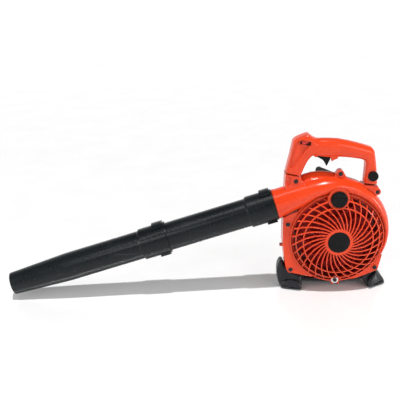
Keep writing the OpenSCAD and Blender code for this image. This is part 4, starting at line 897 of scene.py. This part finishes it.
# %% [markdown]
# ## Rounded blocks
# A block along Y is drawn as an outline in x and z. Corner cutting rounds its corners, and its
# front edge rolls over in a quarter circle: each ring is drawn in by the circle's width. That
# is cheaper than a bevel modifier, and the radius stays the same round every corner.

# %% Rounded block
def rounded(outline, cuts=3):
    """An outline whose corners are cut again and again, a fifth of each side at a time."""
    outline = np.asarray(outline, float)
    for _ in range(cuts):
        after = np.roll(outline, -1, 0)
        outline = np.stack([0.8 * outline + 0.2 * after, 0.2 * outline + 0.8 * after], 1).reshape(-1, 2)
    return outline


def soft_block(outline, front, back, radius, slope=0.0, pivot=0.0, cuts=3, steps=8):
    """A closed block from y = back to y = front. Its front leans by slope, away from x = pivot.

    Its front edge is a quarter circle: the outline drawn in by r (1 - cos t), at the depth
    r (1 - sin t).
    """
    outline = rounded(outline, cuts)
    edge = np.roll(outline, -1, 0) - np.roll(outline, 1, 0)
    if np.cross(outline - outline.mean(0), edge).sum() > 0:
        outline, edge = outline[::-1], -edge[::-1]
    inward = np.stack([edge[:, 1], -edge[:, 0]], -1)
    inward /= np.linalg.norm(inward, axis=1)[:, None] + 1e-12
    lean = slope * np.abs(outline[:, 0] - pivot)
    rings = [np.insert(outline, 1, back, axis=1)]
    for t in np.linspace(0, math.pi / 2, steps):
        flat = outline + inward * radius * (1 - math.cos(t))
        rings.append(np.insert(flat, 1, front + lean + radius * (1 - math.sin(t)), axis=1))
    return outward(solid("block", np.array(rings), tube_faces(len(rings), len(outline))))


print("corners of a square after the cuts:", len(rounded([[0, 0], [1, 0], [1, 1], [0, 1]])))

# %% [markdown]
# ## Base
# The blower stands on two moulded feet. Each is a slab that leans outwards, with a lower toe in
# front of it, and both sweep back towards their outer ends. A plate ties them together, and a
# block in its middle carries the engine. Overlapping blocks in one mesh are enough, because
# nobody sees where they run into each other.

# %% Base
LEFT_SLAB = [[-75, 0], [-121, 0], [-126.4, 9], [-129.8, 22], [-131.4, 36], [-131, 50], [-128.6, 60],
             [-124, 67.5], [-118, 67], [-113, 56], [-104, 47], [-88, 40], [-74, 33]]
LEFT_TOE = [[-75.6, 0], [-122.4, 0], [-123.5, 9], [-119, 18.5], [-110, 23.6], [-98, 25.4],
            [-85, 24.6], [-79, 21], [-76.4, 11]]
RIGHT_SLAB = [[76, 0], [121, 0], [119, 9], [112, 21], [101, 37], [96, 46], [86, 46], [61, 26], [70, 12]]
RIGHT_TOE = [[77.4, 0], [122.4, 0], [119.6, 10], [113.6, 19], [104, 31], [97, 38.5], [90, 36],
             [80, 25], [75.6, 10]]
TIE_PLATE = [[-82, 13], [82, 13], [82, 22], [-82, 22]]
ENGINE_BLOCK = [[-32, 0], [32, 0], [32, 21], [-32, 21]]
FOOT_FRONT, SLAB_BACK, PLATE_BACK = SPLIT_Y - 0.021, SPLIT_Y + 0.026, 0.036
LEFT_SLOPE, RIGHT_SLOPE = math.tan(math.radians(17.4)), math.tan(math.radians(27))
FOOT_PIVOT = 0.077
TOE_RADIUS, PLATE_RADIUS = 0.007, 0.002

base = joined([
    soft_block(mm(LEFT_SLAB), FOOT_FRONT + 0.0065, SLAB_BACK, 0.006, LEFT_SLOPE, -FOOT_PIVOT),
    soft_block(mm(LEFT_TOE), FOOT_FRONT, SPLIT_Y, TOE_RADIUS, LEFT_SLOPE, -FOOT_PIVOT),
    soft_block(mm(RIGHT_SLAB), FOOT_FRONT + 0.005, SLAB_BACK, 0.005, RIGHT_SLOPE, FOOT_PIVOT),
    soft_block(mm(RIGHT_TOE), FOOT_FRONT, SPLIT_Y + 0.01, TOE_RADIUS, RIGHT_SLOPE, FOOT_PIVOT),
    soft_block(mm(TIE_PLATE), SPLIT_Y + 0.003, PLATE_BACK, PLATE_RADIUS, cuts=2),
    soft_block(mm(ENGINE_BLOCK), -0.02, 0.02, PLATE_RADIUS, cuts=2),
])
finished(base, "base_skin", "base_plastic", "housing", 40)
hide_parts("base_stand")
print("base:", len(base.data.polygons), "faces")

# %% [markdown]
# ## Crown of the back shell
# Between the front mount and the top screw the back shell swells above the front shell. The
# moulder needs that room for the screw bosses. Its section rises from the scroll in a smooth
# step, runs level and ends behind. A profile carried along x gives it.

# %% Crown
CROWN_TOP = mm([[-83.5, 142], [-75, 146], [-60, 150.3], [-45, 151.9], [-34, 152], [-14, 149.5],
                [2, 146], [9, 141]])
CROWN_FLOOR = 0.128
CROWN_RISE = 0.013
CROWN_FRONT, CROWN_STEP, CROWN_BACK = -0.0115, 0.0125, 0.0072


def crown(name, columns=80, rows=16):
    """A closed strip over the scroll, with the step z = top - rise + rise (3 t t - 2 t t t)."""
    x = np.linspace(CROWN_TOP[0, 0], CROWN_TOP[-1, 0], columns)[:, None]
    high = np.interp(x, CROWN_TOP[:, 0], CROWN_TOP[:, 1])
    low = np.full((columns, 1), CROWN_FLOOR)
    t = np.linspace(0, 1, rows)
    step = t * t * (3 - 2 * t)
    y = np.concatenate([CROWN_FRONT + CROWN_STEP * t, [CROWN_BACK, CROWN_BACK, CROWN_FRONT]])
    z = np.concatenate([high - CROWN_RISE + CROWN_RISE * step, high, low, low], 1)
    points = np.stack([np.broadcast_to(x, z.shape), np.broadcast_to(y, z.shape), z], -1) + CENTRE
    strip = outward(solid(name, points, tube_faces(columns, points.shape[1])))
    return finished(strip, name, "orange_plastic", "housing", 40, SHELL)


crown_skin = crown("crown_skin")
print("crown:", len(crown_skin.data.polygons), "faces")

# %% [markdown]
# ## Web under the outlet
# Where the outlet leaves the scroll, a short web closes the crease between the outlet and the
# lower left block. It is a part of the moulding, and an arc around the crankshaft's axis is
# the simplest shape that stays inside the scroll's outer wall.

# %% Web
WEB_ANGLES = (114, 160)
WEB_INNER_R, WEB_OUTER_R = 0.1012, 0.1105
WEB_FRONT, WEB_BACK = SPLIT_Y - 0.0172, SPLIT_Y + 0.0178
t = np.radians(np.linspace(*WEB_ANGLES, 32))
arc = np.stack([np.cos(t), np.sin(t)], -1)
web_outline = np.concatenate([arc * WEB_INNER_R, arc[::-1] * WEB_OUTER_R]) + [0, AXIS_Z]
web = prism(web_outline, WEB_FRONT, WEB_BACK)
finished(web, "outlet_web", "orange_plastic", "housing", 40, SHELL)
print("web:", len(web.data.polygons), "faces")

# %% [markdown]
# ## Small black trim and painted shade
# A blackened washer sits under the head of each housing screw, and three black bars in the stop
# switch's window paint the shade at its bottom and sides. A washer is one profile turned around the
# screw's axis, so its rolled edge costs only two more points.

# %% Trim and painted shade
SCREWS = [[-110.7, 36, 17], [-103, -75.2, 17], [89.5, -76.5, 17], [86.6, 105.8, 12], [4, 149.6, 10],
          [-94.5, 137, 15]]
WASHER_INNER_R, WASHER_OUTER_R = 0.0034, 0.0052
WASHER_LIFT, WASHER_HEIGHT = 0.0024, 0.0006
SWITCH_SHADE_BARS = (((-12.2, -4.4), (10.6, -2.6)), ((-12.2, -2.6), (-10.4, 4.4)), ((6.8, -2.6), (10.6, 4.4)))
SWITCH_SHADE_SPAN = (FRONT_Y + 0.001, FRONT_Y + 0.0028)


def ring(centre, inner, outer, front, height, count=40):
    """A flat ring with a rolled edge: a closed profile of (radius, depth), turned along Y."""
    profile = np.array([[inner, height], [inner, 0.0001], [inner + 0.0002, 0], [outer - 0.0006, 0],
                        [outer - 0.00015, 0.0002], [outer, 0.0006], [outer, height]])
    t = np.linspace(0, 2 * math.pi, count, endpoint=False)
    points = np.stack([
        centre[0] + np.outer(np.cos(t), profile[:, 0]),
        np.broadcast_to(front + profile[:, 1], (count, len(profile))),
        centre[1] + np.outer(np.sin(t), profile[:, 0])], -1)
    return outward(solid("ring", points, ring_faces(count, len(profile), closed=True).tolist()))


washers = joined([
    ring((x, z + AXIS_Z), WASHER_INNER_R, WASHER_OUTER_R, SPLIT_Y - depth - WASHER_LIFT, WASHER_HEIGHT)
    for x, z, depth in mm(SCREWS)])
finished(washers, "screw_washers", "black_screws", "housing", 30)
# Black bars paint the shade at the bottom and sides of the switch's window.
bars = [prism(turned_box(SWITCH_PLACE, SWITCH_TILT, *bar), *SWITCH_SHADE_SPAN) for bar in SWITCH_SHADE_BARS]
switch_painted_shade = joined(bars)
finished(switch_painted_shade, "switch_painted_shade", "black_plastic", "housing", 30)
print("washers:", len(SCREWS), "and bars of the frame:", len(SWITCH_SHADE_BARS))
